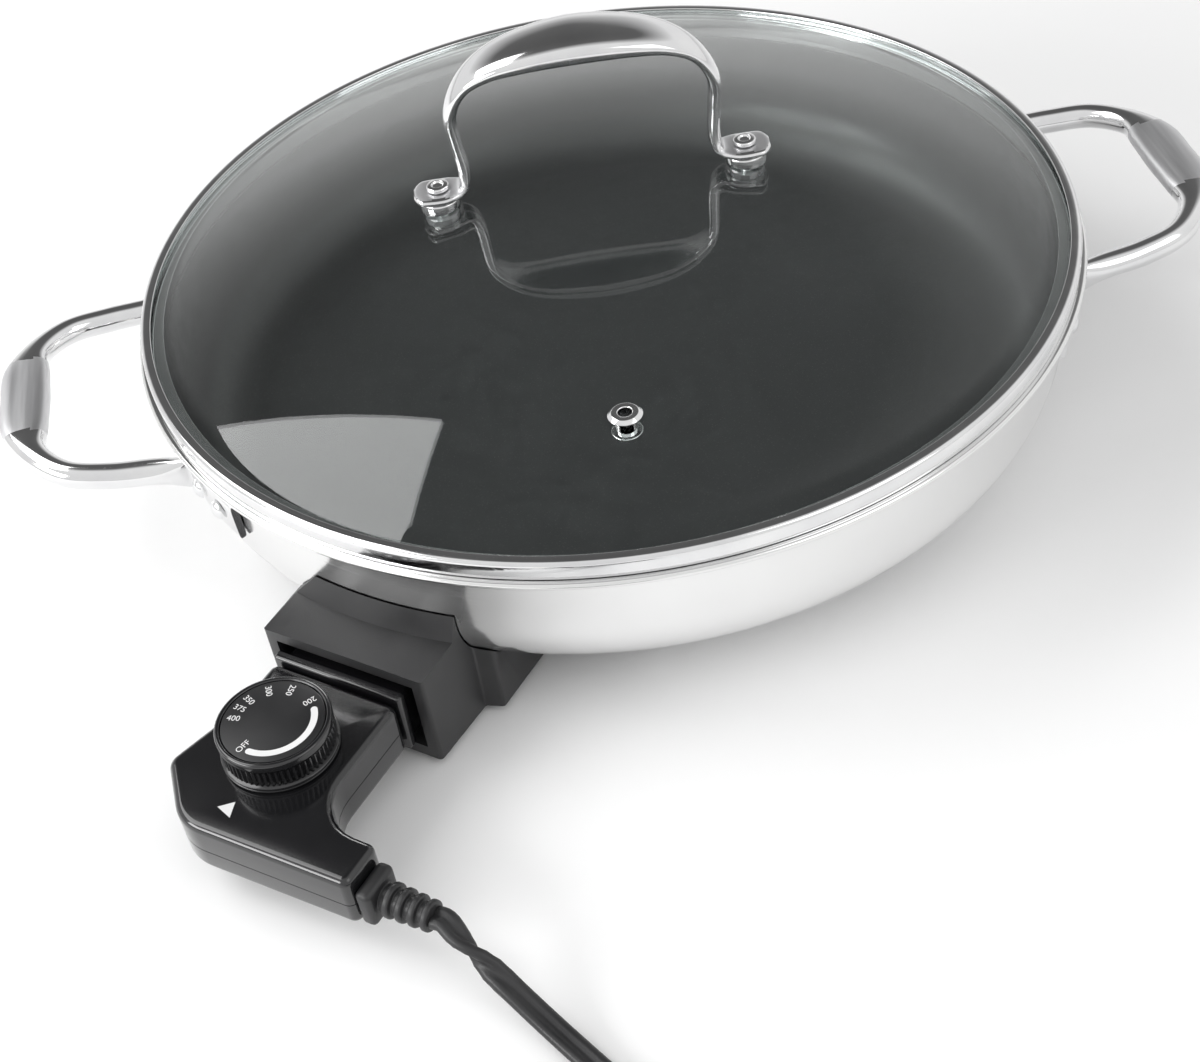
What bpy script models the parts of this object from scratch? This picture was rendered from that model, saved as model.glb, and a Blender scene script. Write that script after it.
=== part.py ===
"""Round electric griddle with a glass lid, two side handles and a pull-out heat control.

Every physical piece is one object. Metres, +Z up, the floor at Z = 0. The pan's axis stands
behind the origin by PAN_Y, so that the object without its cord is centred on the origin.
"""

import bpy
import bmesh
from math import asin, cos, hypot, pi, radians, sin, sqrt, tau
from mathutils import Matrix, Vector

# ---- driving dimensions, in metres and degrees ----
GAP = 0.0003              # between touching pieces
SIDES = 48                # facets of the large turned pieces
SMALL_SIDES = 16          # facets of the small turned pieces

PAN_RADIUS = 0.151        # outside of the wall
PAN_WALL = 0.0015
PAN_CORNER = 0.025        # outside radius between wall and bottom
PAN_BASE_Z = 0.018        # underside of the pan above the floor
PAN_DEPTH = 0.0496        # rim top above the underside
RIM_REACH = 0.0063        # rolled rim beyond the wall
RIM_HEIGHT = 0.0022
LINING = 0.0005
LINING_BELOW_RIM = 0.006

LID_YAW = -6.0            # the lid as it was put down, about the pan's axis
LID_FIT = 0.0008          # lid skirt inside the pan wall
SKIRT_DEPTH = 0.0033
SKIRT_WALL = 0.0011
RING_REACH = 0.0045       # lid ring beyond the pan wall
RING_HEIGHT = 0.0063
RING_LIP = 0.0037         # width of the lip over the glass
RING_SKIN = 0.0011
GLASS = 0.0034
DOME_RISE = 0.0250        # glass edge to apex, on top
VENT_RADIUS = 0.1087
VENT_ANGLE = -90.5
VENT_HOLE = 0.0021
VENT_BODY = 0.0044

LID_FOOT_X = 0.0500       # handle screws from the lid's centre
LID_TAB_LENGTH = 0.0175
LID_TAB_WIDTH = 0.0140
LID_TAB_THICK = 0.0024
LID_TAB_RISE = 0.0042     # spacer height, glass to tab
LID_LEG_X = 0.0405
LID_ARCH = 0.0468         # grip middle above the tabs
GRIP_WIDTH = 0.0250
GRIP_THICK = 0.0096
LEG_WIDTH = 0.0075
LEG_THICK = 0.0042
SCREW_RADIUS = 0.0020

TAB_START = 30.0          # side handle tabs, degrees about the pan from the handle's middle
TAB_END = 18.5
TAB_THICK = 0.0024
TAB_HEIGHT = 0.0130
TAB_Z = 0.0510
LOOP_BEYOND_WALL = 0.0474   # middle of the side grip
LOOP_Z = 0.0575
ROD = 0.0086
SIDE_GRIP_WIDTH = 0.0156
SIDE_GRIP_THICK = 0.0070
RIVET_ANGLES = (21.3, 26.3)
RIVET_HEAD = 0.0034
RIVET_RISE = 0.0017

PROBE_ANGLE = 40.0        # heat control from the front, towards the left handle
GUIDE_WALL = 0.0009
PROBE_RADIUS = 0.0026
GUIDE_CLEAR = 0.0001         # sensor guide below the pan
PIN_RADIUS = 0.0019
PIN_SPREAD = 0.0110       # terminal pins from the probe's axis
PIN_INSET = 0.0320          # pins start behind the bracket's front
SHEATH_RADIUS = 0.0032
ELEMENT_BEYOND_PLATE = 0.0080
ELEMENT_GAP = 11.5        # open part of the ring, degrees each way
PLATE_INSET = 0.0630        # plate edge inside the pan wall
PLATE_THICK = 0.0050

PAD_HEIGHT = 0.0030
PAD_RADIUS = 0.0065
BRACKET_REACH = 0.0170      # front face beyond the pan wall
BRACKET_HALF = 0.0288
BRACKET_STEP = 0.0352     # half width behind the step
BRACKET_STEP_INSET = 0.0070
BRACKET_TOP = 0.0362      # top of the front edge
BRACKET_CREASE = 0.0035   # crease beyond the pan wall
BRACKET_CREASE_Z = 0.0384
BRACKET_LIP_Z = 0.0462
LIP_SLOPE_AT = (0.0, -0.0240, 0.0415)   # on the slope that ends the lip on its left
BRACKET_WALL = 0.0042
BRACKET_INSET = 0.0470      # where the bracket starts under the pan, inside the wall
WING_WIDTH = 0.0150
WING_HALF = 0.0660
REAR_HALF = 0.0240

CONTROL_BOTTOM = 0.0118
CONTROL_SPLIT = 0.0205
CONTROL_TOP = 0.0305
CONTROL_WALL = 0.0013
CONTROL_EDGE = 0.0028     # plan radius of the control's corners
CONTROL_BEVEL = 0.0014
CONTROL_HALF = 0.0225
CONTROL_FROM_FLANGE = 0.0037
CONTROL_LENGTH = 0.0609
CONTROL_LEG_WIDTH = 0.0166
CONTROL_LEG_END = 0.0452
FLANGE_GAP = 0.0016         # flange in front of the bracket
FLANGE_HALF = 0.0227
FLANGE_LOW = 0.0106
FLANGE_TOP = 0.0322
NOSE_DEPTH = 0.0180         # nose inside the bracket
NOSE_HALF = 0.0205
PROBE_TIP_FROM_PLATE = 0.0125
SOCKET_RADIUS = 0.0030
DIAL_FROM_START = 0.0267    # dial axis along the control
DIAL_RADIUS = 0.0170
DIAL_TOP = 0.0422
SHAFT_RADIUS = 0.0022
CAM_RADIUS = 0.0042
ARM_BEYOND_DIAL = 0.0190
ARM_LENGTH = 0.0215
ARM_THICK = 0.0008

RELIEF_FROM_FAR = 0.0087
RELIEF_Z = 0.0195
RELIEF_BLOCK = 0.0130
RELIEF_BLOCK_LENGTH = 0.0050
RELIEF_LENGTH = 0.0160
RELIEF_RADIUS = 0.0046

CORD_RADIUS = 0.0022
CORD_POINTS = 34
COIL_CENTRE = (-0.0720, -0.2850)
COIL_RADIUS = 0.0400
COIL_BAND = 0.0040
COIL_LOW = 0.0010
COIL_HEIGHT = 0.0112
TAIL_POINTS = 8
PLUG_X = -0.1203
PLUG_Y = -0.3250
PLUG_Z = 0.0080
PLUG_LENGTH = 0.0300
PLUG_WIDTH = 0.0240
PLUG_THICK = 0.0150
BLADE_LENGTH = 0.0165
BLADE_WIDTH = 0.0063
BLADE_THICK = 0.0015
BLADE_SPREAD = 0.00635

# The cord's stretches that are not coiled, from the strain relief to the coil and on to the plug.
LEAD_ROUTE = [
    (-0.0880, -0.1923, 0.0172),
    (-0.0795, -0.2032, 0.0108),
    (-0.0700, -0.2160, 0.0056),
    (-0.0605, -0.2297, 0.0030),
    (-0.0517, -0.2431, 0.0026),
]
TAIL_ROUTE = [
    (-0.0965, -0.3250, 0.0104),
    (-0.1080, -0.3250, 0.0088),
    (-0.1200, -0.3250, 0.0080),
]

# ---- sizes that follow from those above ----
RIM_TOP = PAN_BASE_Z + PAN_DEPTH
RIM_RADIUS = PAN_RADIUS + RIM_REACH
PAN_INNER = PAN_RADIUS - PAN_WALL
RING_LOW = RIM_TOP + GAP
RING_TOP = RING_LOW + RING_HEIGHT
RING_RADIUS = PAN_RADIUS + RING_REACH
LIP_RADIUS = RING_RADIUS - RING_LIP
GLASS_RADIUS = RING_RADIUS - 2 * RING_SKIN - GAP
GLASS_EDGE_TOP = RING_TOP - RING_SKIN - GAP
DOME_TOP = GLASS_EDGE_TOP + DOME_RISE
DOME_CURVE = (LIP_RADIUS ** 2 + DOME_RISE ** 2) / (2 * DOME_RISE)
LINING_TOP = RIM_TOP - LINING_BELOW_RIM
TAB_RADIUS = PAN_RADIUS + GAP + TAB_THICK / 2
LOOP_REACH = PAN_RADIUS + LOOP_BEYOND_WALL
PLATE_RADIUS = PAN_RADIUS - PLATE_INSET
ELEMENT_RADIUS = PLATE_RADIUS + ELEMENT_BEYOND_PLATE
PROBE_Z = PAN_BASE_Z - GUIDE_CLEAR - GUIDE_WALL - PROBE_RADIUS
BRACKET_INNER = PAN_RADIUS - BRACKET_INSET
WING_OUTER = BRACKET_INNER + WING_WIDTH
BRACKET_STEP_U = PAN_RADIUS - BRACKET_STEP_INSET
BRACKET_FRONT = PAN_RADIUS + BRACKET_REACH
NOSE_START = BRACKET_FRONT - NOSE_DEPTH
FLANGE_START = BRACKET_FRONT + FLANGE_GAP
CONTROL_START = FLANGE_START + CONTROL_FROM_FLANGE
CONTROL_FAR = CONTROL_START + CONTROL_LENGTH
CONTROL_LEG_NEAR = CONTROL_FAR - CONTROL_LEG_WIDTH
DIAL_U = CONTROL_START + DIAL_FROM_START
ARM_END = DIAL_U + ARM_BEYOND_DIAL
RELIEF_U = CONTROL_FAR - RELIEF_FROM_FAR
BASE_SCREWS = ((CONTROL_START + 0.0077, 0.0), (RELIEF_U - 0.0003, 0.0340))
PROBE_TIP = PLATE_RADIUS + PROBE_TIP_FROM_PLATE
PIN_START = BRACKET_FRONT - PIN_INSET
PROBE_TURN = radians(-90.0 - PROBE_ANGLE)
RELIEF_START = CONTROL_LEG_END + GAP
RELIEF_END = RELIEF_START + RELIEF_BLOCK_LENGTH + RELIEF_LENGTH
FRONT_REACH = (RELIEF_U + RELIEF_RADIUS) * cos(radians(PROBE_ANGLE)) + RELIEF_END * sin(radians(PROBE_ANGLE))
PAN_Y = (FRONT_REACH - RIM_RADIUS) / 2

parts = None
cutters = None


# ---- helpers ----
def clear_scene():
    for obj in list(bpy.data.objects):
        bpy.data.objects.remove(obj)


def make_collection(name):
    collection = bpy.data.collections.new(name)
    bpy.context.scene.collection.children.link(collection)
    return collection


def material(name, colour, roughness, metallic=0.0, alpha=1.0):
    found = bpy.data.materials.get(name)
    if found:
        return found
    made = bpy.data.materials.new(name)
    made.use_nodes = True
    shader = made.node_tree.nodes["Principled BSDF"]
    shader.inputs["Base Color"].default_value = (*colour, 1.0)
    shader.inputs["Roughness"].default_value = roughness
    shader.inputs["Metallic"].default_value = metallic
    shader.inputs["Alpha"].default_value = alpha
    made.diffuse_color = (*colour, alpha)
    return made


def steel():
    return material("polished_steel", (0.80, 0.80, 0.81), 0.10, 1.0)


def brushed():
    return material("brushed_steel", (0.66, 0.66, 0.67), 0.32, 1.0)


def phenolic():
    return material("matte_phenolic", (0.035, 0.035, 0.037), 0.55)


def glossy():
    return material("gloss_black", (0.022, 0.022, 0.024), 0.18)


def rubber():
    return material("black_rubber", (0.030, 0.030, 0.031), 0.70)


def guide(name, location, turn):
    """An empty that stands for an axis; its children use its own directions."""
    empty = bpy.data.objects.new(name, None)
    parts.objects.link(empty)
    empty.location = location
    empty.rotation_euler = (0.0, 0.0, turn)
    return empty


def add(name, mesh, look, parent=None, location=(0.0, 0.0, 0.0)):
    """Put a mesh or curve in the scene as one part."""
    obj = bpy.data.objects.new(name, mesh)
    parts.objects.link(obj)
    obj.parent = parent
    obj.location = location
    if look:
        mesh.materials.append(look)
    return obj


def smooth(obj, angle=35.0):
    obj.data.shade_smooth()
    obj.data.set_sharp_from_angle(angle=radians(angle))


def box_mesh(name, low, high, bevel=0.0):
    """A box between two corners, with its upright and level edges bevelled."""
    mesh = bpy.data.meshes.new(name)
    shape = bmesh.new()
    bmesh.ops.create_cube(shape, size=1.0)
    size = Vector(high) - Vector(low)
    middle = (Vector(high) + Vector(low)) / 2
    bmesh.ops.scale(shape, vec=size, verts=shape.verts)
    bmesh.ops.translate(shape, vec=middle, verts=shape.verts)
    if bevel:
        bmesh.ops.bevel(shape, geom=shape.edges[:], offset=bevel, segments=2, profile=0.5, affect="EDGES")
    shape.to_mesh(mesh)
    shape.free()
    return mesh


def box(name, low, high, look, parent=None, bevel=0.0, location=(0.0, 0.0, 0.0)):
    return add(name, box_mesh(name, low, high, bevel), look, parent, location)


AXIS_TURN = {
    "z": Matrix.Identity(4),
    "x": Matrix.Rotation(pi / 2, 4, "Y"),
    "y": Matrix.Rotation(-pi / 2, 4, "X"),
}


def rod_mesh(name, radius, start, length, axis="z", sides=SMALL_SIDES, end_radius=None):
    """A round bar or cone from start along +axis."""
    mesh = bpy.data.meshes.new(name)
    shape = bmesh.new()
    top = radius if end_radius is None else end_radius
    bmesh.ops.create_cone(shape, cap_ends=True, segments=sides, radius1=radius, radius2=top, depth=length)
    bmesh.ops.translate(shape, vec=(0.0, 0.0, length / 2), verts=shape.verts)
    bmesh.ops.transform(shape, matrix=AXIS_TURN[axis], verts=shape.verts)
    bmesh.ops.translate(shape, vec=start, verts=shape.verts)
    shape.to_mesh(mesh)
    shape.free()
    return mesh


def rod(name, radius, start, length, look, parent=None, axis="z", sides=SMALL_SIDES, location=(0.0, 0.0, 0.0)):
    obj = add(name, rod_mesh(name, radius, start, length, axis, sides), look, parent, location)
    smooth(obj)
    return obj


def turned(name, profile, look, parent=None, location=(0.0, 0.0, 0.0), sides=SMALL_SIDES, closed=False):
    """A profile of (radius, height) turned about Z; its outer side runs from top to bottom."""
    mesh = bpy.data.meshes.new(name)
    points = [(radius, 0.0, height) for radius, height in profile]
    edges = [(i, i + 1) for i in range(len(points) - 1)]
    if closed:
        edges.append((len(points) - 1, 0))
    mesh.from_pydata(points, edges, [])
    obj = add(name, mesh, look, parent, location)
    screw = obj.modifiers.new("turn", "SCREW")
    screw.steps = sides
    screw.render_steps = sides
    screw.use_merge_vertices = True
    screw.merge_threshold = 0.00001
    screw.use_smooth_shade = False
    return obj


def to_mesh(obj):
    """Apply the modifiers of an object, or turn a curve into a mesh, and weld its caps."""
    graph = bpy.context.evaluated_depsgraph_get()
    mesh = bpy.data.meshes.new_from_object(obj.evaluated_get(graph))
    shape = bmesh.new()
    shape.from_mesh(mesh)
    bmesh.ops.remove_doubles(shape, verts=shape.verts, dist=0.000001)
    shape.to_mesh(mesh)
    shape.free()
    name = obj.name
    parent = obj.parent
    location = obj.location.copy()
    looks = list(obj.data.materials)
    bpy.data.objects.remove(obj)
    made = add(name, mesh, None, parent, location)
    mesh.materials.clear()
    for look in looks:
        mesh.materials.append(look)
    return made


def boolean(target, tool, kind):
    """Cut, join or cross a part with a tool, which moves to the cutters."""
    if tool.name not in cutters.objects:
        parts.objects.unlink(tool)
        cutters.objects.link(tool)
    tool.hide_render = True
    tool.display_type = "WIRE"
    step = target.modifiers.new(kind.lower(), "BOOLEAN")
    step.operation = kind
    step.solver = "EXACT"
    step.object = tool


def cut(target, tool):
    boolean(target, tool, "DIFFERENCE")


def arc(centre, radius, start, end, steps):
    """Points of an arc as (across, up), from start to end in degrees."""
    points = []
    for i in range(steps + 1):
        turn = radians(start + (end - start) * i / steps)
        points.append((centre[0] + radius * cos(turn), centre[1] + radius * sin(turn)))
    return points


def rounded_outline(corners, steps=4):
    """A closed outline through corners given as (u, v, radius), each rounded by an arc."""
    outline = []
    count = len(corners)
    for i, (u, v, radius) in enumerate(corners):
        here = Vector((u, v))
        back = (Vector(corners[i - 1][:2]) - here).normalized()
        ahead = (Vector(corners[(i + 1) % count][:2]) - here).normalized()
        half = back.angle(ahead) / 2
        reach = radius / sin(half) * cos(half)
        middle = here + (back + ahead).normalized() * radius / sin(half)
        first = here + back * reach - middle
        last = here + ahead * reach - middle
        for k in range(steps + 1):
            point = first.slerp(last, k / steps).normalized() * radius
            outline.append((middle + point).to_tuple())
    return outline


def prism(name, outline, low, high, look, parent=None):
    """A flat outline with height: a filled curve with an extrude, made a mesh with whole caps."""
    curve = bpy.data.curves.new(name, "CURVE")
    curve.dimensions = "2D"
    curve.fill_mode = "BOTH"
    curve.extrude = (high - low) / 2
    spline = curve.splines.new("POLY")
    spline.points.add(len(outline) - 1)
    for point, (u, v) in zip(spline.points, outline):
        point.co = (u, v, 0.0, 1.0)
    spline.use_cyclic_u = True
    obj = to_mesh(add(name, curve, look, parent, (0.0, 0.0, (high + low) / 2)))
    shape = bmesh.new()
    shape.from_mesh(obj.data)
    bmesh.ops.dissolve_limit(shape, angle_limit=0.001, verts=shape.verts, edges=shape.edges)
    bmesh.ops.recalc_face_normals(shape, faces=shape.faces)
    shape.to_mesh(obj.data)
    shape.free()
    return obj


def inset(outline, distance):
    """A closed outline moved inwards, its inside on the left hand."""
    moved = []
    count = len(outline)
    for i in range(count):
        here = Vector(outline[i])
        back = (here - Vector(outline[i - 1])).normalized()
        ahead = (Vector(outline[(i + 1) % count]) - here).normalized()
        mitre = (Vector((-back.y, back.x)) + Vector((-ahead.y, ahead.x))).normalized()
        reach = distance / max(0.3, mitre.dot(Vector((-ahead.y, ahead.x))))
        moved.append((here + mitre * reach).to_tuple())
    return moved


def shell(name, outline, low, high, open_side, wall, bevel, look, parent=None):
    """A thin-walled cover: the prism of an outline, open below (-1) or above (+1)."""
    obj = prism(name, outline, low, high, look, parent)
    shape = bmesh.new()
    shape.from_mesh(obj.data)
    shape.normal_update()
    closed = max(shape.faces, key=lambda face: -face.normal.z * open_side)
    bmesh.ops.bevel(shape, geom=list(closed.edges), offset=bevel, segments=2, profile=0.5, affect="EDGES")
    shape.to_mesh(obj.data)
    shape.free()
    floor = low + wall if open_side > 0 else low - wall
    roof = high + wall if open_side > 0 else high - wall
    room = prism(name + "_room", inset(outline, wall), floor, roof, None, parent)
    cut(obj, room)
    return obj


def tube(name, points, radius, look, parent=None, resolution=2):
    """A round bar along points: a curve with a bevel depth and filled caps."""
    curve = bpy.data.curves.new(name, "CURVE")
    curve.dimensions = "3D"
    curve.bevel_depth = radius
    curve.bevel_resolution = resolution
    curve.use_fill_caps = True
    spline = curve.splines.new("POLY")
    spline.points.add(len(points) - 1)
    for point, place in zip(spline.points, points):
        point.co = (*place, 1.0)
    return add(name, curve, look, parent)


def through(values, steps):
    """A smooth curve through rows of numbers, read at even steps from the first to the last."""
    ends = []
    for edge, beside in ((values[0], values[1]), (values[-1], values[-2])):
        ends.append([2 * a - b for a, b in zip(edge, beside)])
    knots = [ends[0]] + [list(row) for row in values] + [ends[1]]
    spans = len(values) - 1
    rows = []
    for i in range(steps + 1):
        place = i / steps * spans
        span = min(int(place), spans - 1)
        t = place - span
        row = []
        for a, b, c, d in zip(*knots[span:span + 4]):
            bend = (2 * a - 5 * b + 4 * c - d) * t * t + (3 * b - a - 3 * c + d) * t ** 3
            row.append(0.5 * (2 * b + (c - a) * t + bend))
        rows.append(row)
    return rows


def loft(name, rows, look, parent=None, sides=12, square=2.6):
    """A bar along rows of (x, y, z, width, height) whose section is a rounded oblong."""
    places = [Vector(row[:3]) for row in rows]
    shape = bmesh.new()
    rings = []
    for i, (x, y, z, width, height) in enumerate(rows):
        along = (places[min(i + 1, len(rows) - 1)] - places[max(i - 1, 0)]).normalized()
        upright = Vector((0.0, 0.0, 1.0)) if abs(along.z) < 0.75 else None
        across = along.cross(upright).normalized() if upright else None
        if across is None:
            across = Vector((0.0, 1.0, 0.0)) - along * along.y
            across.normalize()
        over = across.cross(along)
        rings.append((places[i], across, over, width / 2, height / 2))
    made = []
    for place, across, over, half_width, half_height in rings:
        ring = []
        for k in range(sides):
            c = cos(tau * k / sides)
            s = sin(tau * k / sides)
            c = abs(c) ** (2 / square) * (1 if c >= 0 else -1)
            s = abs(s) ** (2 / square) * (1 if s >= 0 else -1)
            ring.append(shape.verts.new(place + across * (half_width * c) + over * (half_height * s)))
        made.append(ring)
    for first, second in zip(made, made[1:]):
        for k in range(sides):
            shape.faces.new((first[k], first[(k + 1) % sides], second[(k + 1) % sides], second[k]))
    shape.faces.new(made[0])
    shape.faces.new(made[-1])
    bmesh.ops.recalc_face_normals(shape, faces=shape.faces)
    mesh = bpy.data.meshes.new(name)
    shape.to_mesh(mesh)
    shape.free()
    obj = add(name, mesh, look, parent)
    smooth(obj, 50.0)
    return obj


def dome_height(radius):
    """Top of the lid's glass at a distance from its centre."""
    return DOME_TOP - DOME_CURVE + sqrt(DOME_CURVE ** 2 - radius ** 2)


def pan_outline(offset, corner_steps=4):
    """The pan's outer skin moved out by offset, from the bottom's edge up to the wall."""
    centre = (PAN_RADIUS - PAN_CORNER, PAN_BASE_Z + PAN_CORNER)
    return arc(centre, PAN_CORNER + offset, -90.0, 0.0, corner_steps)


# ---- the pan ----
def pan_shell(axis):
    inside = pan_outline(-PAN_WALL)
    outside = pan_outline(0.0)
    outside.reverse()
    low_rim = RIM_TOP - RIM_HEIGHT
    rim = [
        (PAN_INNER, RIM_TOP),
        (RIM_RADIUS - RIM_HEIGHT / 3, RIM_TOP),
        (RIM_RADIUS, RIM_TOP - RIM_HEIGHT / 2),
        (RIM_RADIUS - RIM_HEIGHT / 3, low_rim),
        (PAN_RADIUS, low_rim),
    ]
    profile = [(0.0, PAN_BASE_Z + PAN_WALL)] + inside + rim + outside + [(0.0, PAN_BASE_Z)]
    return turned("pan_shell", profile, steel(), axis, sides=SIDES)


def pan_lining(axis):
    outside = pan_outline(-PAN_WALL - GAP)
    inside = pan_outline(-PAN_WALL - GAP - LINING)
    outside.reverse()
    profile = [(0.0, PAN_BASE_Z + PAN_WALL + GAP + LINING)] + inside
    profile += [(PAN_INNER - GAP - LINING, LINING_TOP), (PAN_INNER - GAP, LINING_TOP)]
    profile += outside + [(0.0, PAN_BASE_Z + PAN_WALL + GAP)]
    look = material("nonstick", (0.045, 0.045, 0.048), 0.40)
    return turned("pan_lining", profile, look, axis, sides=SIDES)


def heat_plate(axis):
    top = PAN_BASE_Z - GAP
    low = top - PLATE_THICK
    profile = [(0.0, top), (PLATE_RADIUS - 0.001, top), (PLATE_RADIUS, top - 0.001)]
    profile += [(PLATE_RADIUS, low + 0.001), (PLATE_RADIUS - 0.001, low), (0.0, low)]
    look = material("cast_aluminium", (0.56, 0.56, 0.57), 0.45, 1.0)
    return turned("heat_plate", profile, look, axis, sides=SIDES)


def heating_element(line):
    """A sheathed ring with two ends that turn out to the terminal pins, and the pins."""
    turn = radians(ELEMENT_GAP)
    steps = 32
    ring = []
    for i in range(steps + 1):
        angle = turn + (tau - 2 * turn) * i / steps
        ring.append((ELEMENT_RADIUS * cos(angle), ELEMENT_RADIUS * sin(angle), PROBE_Z))
    foot = Vector(ring[0])
    bend = [(foot.x + 0.0012, foot.y - 0.0034), (foot.x + 0.0040, foot.y - 0.0060)]
    bend += [(foot.x + 0.0083, PIN_SPREAD + 0.0012), (foot.x + 0.0135, PIN_SPREAD)]
    bend += [(PIN_START, PIN_SPREAD)]
    first = [(u, v, PROBE_Z) for u, v in reversed(bend)]
    last = [(u, -v, PROBE_Z) for u, v in bend]
    look = material("element_sheath", (0.20, 0.19, 0.19), 0.45, 0.8)
    tube("heating_element", first + ring + last, SHEATH_RADIUS, look, line)
    start = PIN_START + GAP
    for name, side in (("terminal_pin_left", -1), ("terminal_pin_right", 1)):
        place = (start, side * PIN_SPREAD, PROBE_Z)
        rod(name, PIN_RADIUS, place, 0.0230, steel(), line, axis="x", sides=12)


def sensor_guide(line):
    """The tube under the pan that the control's probe slides into."""
    length = 0.0230
    outer = PROBE_RADIUS + GUIDE_WALL
    inner = PROBE_RADIUS + GAP
    start = PLATE_RADIUS + 0.0020
    obj = add("sensor_guide", rod_mesh("guide", outer, (start, 0.0, PROBE_Z), length, "x"), brushed(), line)
    bore = rod_mesh("hole", inner, (start - 0.001, 0.0, PROBE_Z), length + 0.002, "x")
    cut(obj, add("sensor_guide_hole", bore, None, line))


def bracket_block(name, outline, front_edge, parent, axis):
    """A moulded bracket: an outline crossed with a ring that follows the pan's skin."""
    skin = pan_outline(0.0004, 6)
    low = PAD_HEIGHT
    profile = [(PAN_RADIUS + 0.0004, BRACKET_LIP_Z)]
    profile += [(PAN_RADIUS + BRACKET_CREASE, BRACKET_CREASE_Z), (front_edge, BRACKET_TOP)]
    profile += [(front_edge, low), (BRACKET_INNER, low), (BRACKET_INNER, PAN_BASE_Z - 0.0004)] + skin
    ring = turned(name + "_ring", profile, None, axis, sides=SIDES, closed=True)
    block = prism(name, outline, low - 0.002, BRACKET_LIP_Z + 0.002, phenolic(), parent)
    boolean(block, ring, "INTERSECT")
    wing_top = PAN_BASE_Z - 0.0004
    wing = [(WING_OUTER, wing_top), (WING_OUTER, low), (BRACKET_INNER, low), (BRACKET_INNER, wing_top)]
    wings = turned(name + "_wings", wing, None, axis, sides=SIDES, closed=True)
    near = (WING_OUTER / 2, -WING_HALF, 0.0)
    far = (WING_OUTER + 0.02, WING_HALF, PAN_BASE_Z + 0.012)
    reach = box(name + "_wing_box", near, far, None, parent)
    boolean(wings, reach, "INTERSECT")
    boolean(block, wings, "UNION")
    return block


def bracket_fixings(name, block, parent):
    """Two screws up through a bracket, and a rubber pad under each wing."""
    for side in (-1, 1):
        word = "left" if side < 0 else "right"
        place = (BRACKET_INNER + 0.0080, side * 0.0220, PAD_HEIGHT)
        hole = add(f"{name}_hole_{word}", rod_mesh("hole", 0.0038, place, 0.0040, sides=12), None, parent)
        hole.location.z = -0.0010
        cut(block, hole)
        shank = add(f"{name}_bore_{word}", rod_mesh("bore", SCREW_RADIUS + GAP, place, 0.03, sides=12), None, parent)
        cut(block, shank)
        low = PAD_HEIGHT + 0.0010
        tip = PAN_BASE_Z - 0.0008
        profile = [(0.0, tip), (SCREW_RADIUS, tip), (SCREW_RADIUS, low + 0.0017)]
        profile += [(0.0034, low + 0.0017), (0.0034, low), (0.0, low)]
        turned(f"{name}_screw_{word}", profile, brushed(), parent, place[:2] + (0.0,), sides=12)
        turn = asin((WING_HALF - PAD_RADIUS - 0.002) / ((BRACKET_INNER + WING_OUTER) / 2))
        middle = (BRACKET_INNER + WING_OUTER) / 2
        spot = (middle * cos(turn), side * middle * sin(turn), 0.0)
        top = PAD_HEIGHT - GAP
        pad = [(0.0, top), (PAD_RADIUS, top), (PAD_RADIUS, 0.0006), (PAD_RADIUS - 0.0006, 0.0), (0.0, 0.0)]
        turned(f"{name}_foot_{word}", pad, rubber(), parent, spot, sides=SMALL_SIDES)


def front_bracket(line, axis):
    corners = [
        (BRACKET_FRONT, -BRACKET_HALF, 0.0012), (BRACKET_FRONT, BRACKET_HALF, 0.0012),
        (BRACKET_STEP_U, BRACKET_HALF + 0.0008, 0.0010), (BRACKET_STEP_U - 0.0020, BRACKET_STEP, 0.0010),
        (BRACKET_INNER - 0.004, BRACKET_STEP, 0.0010), (BRACKET_INNER - 0.004, -BRACKET_STEP, 0.0010),
        (BRACKET_STEP_U - 0.0020, -BRACKET_STEP, 0.0010), (BRACKET_STEP_U, -BRACKET_HALF - 0.0008, 0.0010),
    ]
    edge = hypot(BRACKET_FRONT, BRACKET_HALF) + 0.010
    block = bracket_block("front_bracket", rounded_outline(corners, 2), edge, line, axis)
    inner = BRACKET_HALF - BRACKET_WALL
    socket_top = BRACKET_TOP - 0.0028
    low = (BRACKET_STEP_U - 0.0140, -inner, PAD_HEIGHT + BRACKET_WALL)
    socket = box("bracket_socket", low, (BRACKET_FRONT + 0.01, inner, socket_top), None, line)
    cut(block, socket)
    half = PIN_SPREAD + SHEATH_RADIUS + 0.0026
    low = (BRACKET_INNER - 0.01, -half, PROBE_Z - SHEATH_RADIUS - 0.0010)
    channel = box("bracket_channel", low, (BRACKET_STEP_U, half, PAN_BASE_Z + 0.012), None, line)
    cut(block, channel)
    low = (BRACKET_STEP_U, -0.03, 0.0)
    slope = box("bracket_lip_slope", low, (BRACKET_FRONT, 0.03, 0.02), None, line, location=LIP_SLOPE_AT)
    slope.rotation_euler = (radians(45.0), 0.0, 0.0)
    cut(block, slope)
    bracket_fixings("front", block, line)


def rear_bracket(back, axis):
    edge = PAN_RADIUS + 0.0090
    corners = [
        (edge + 0.002, -REAR_HALF, 0.0030), (edge + 0.002, REAR_HALF, 0.0030),
        (BRACKET_INNER - 0.004, REAR_HALF + 0.004, 0.0010), (BRACKET_INNER - 0.004, -REAR_HALF - 0.004, 0.0010),
    ]
    block = bracket_block("rear_bracket", rounded_outline(corners, 2), edge, back, axis)
    bracket_fixings("rear", block, back)


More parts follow.
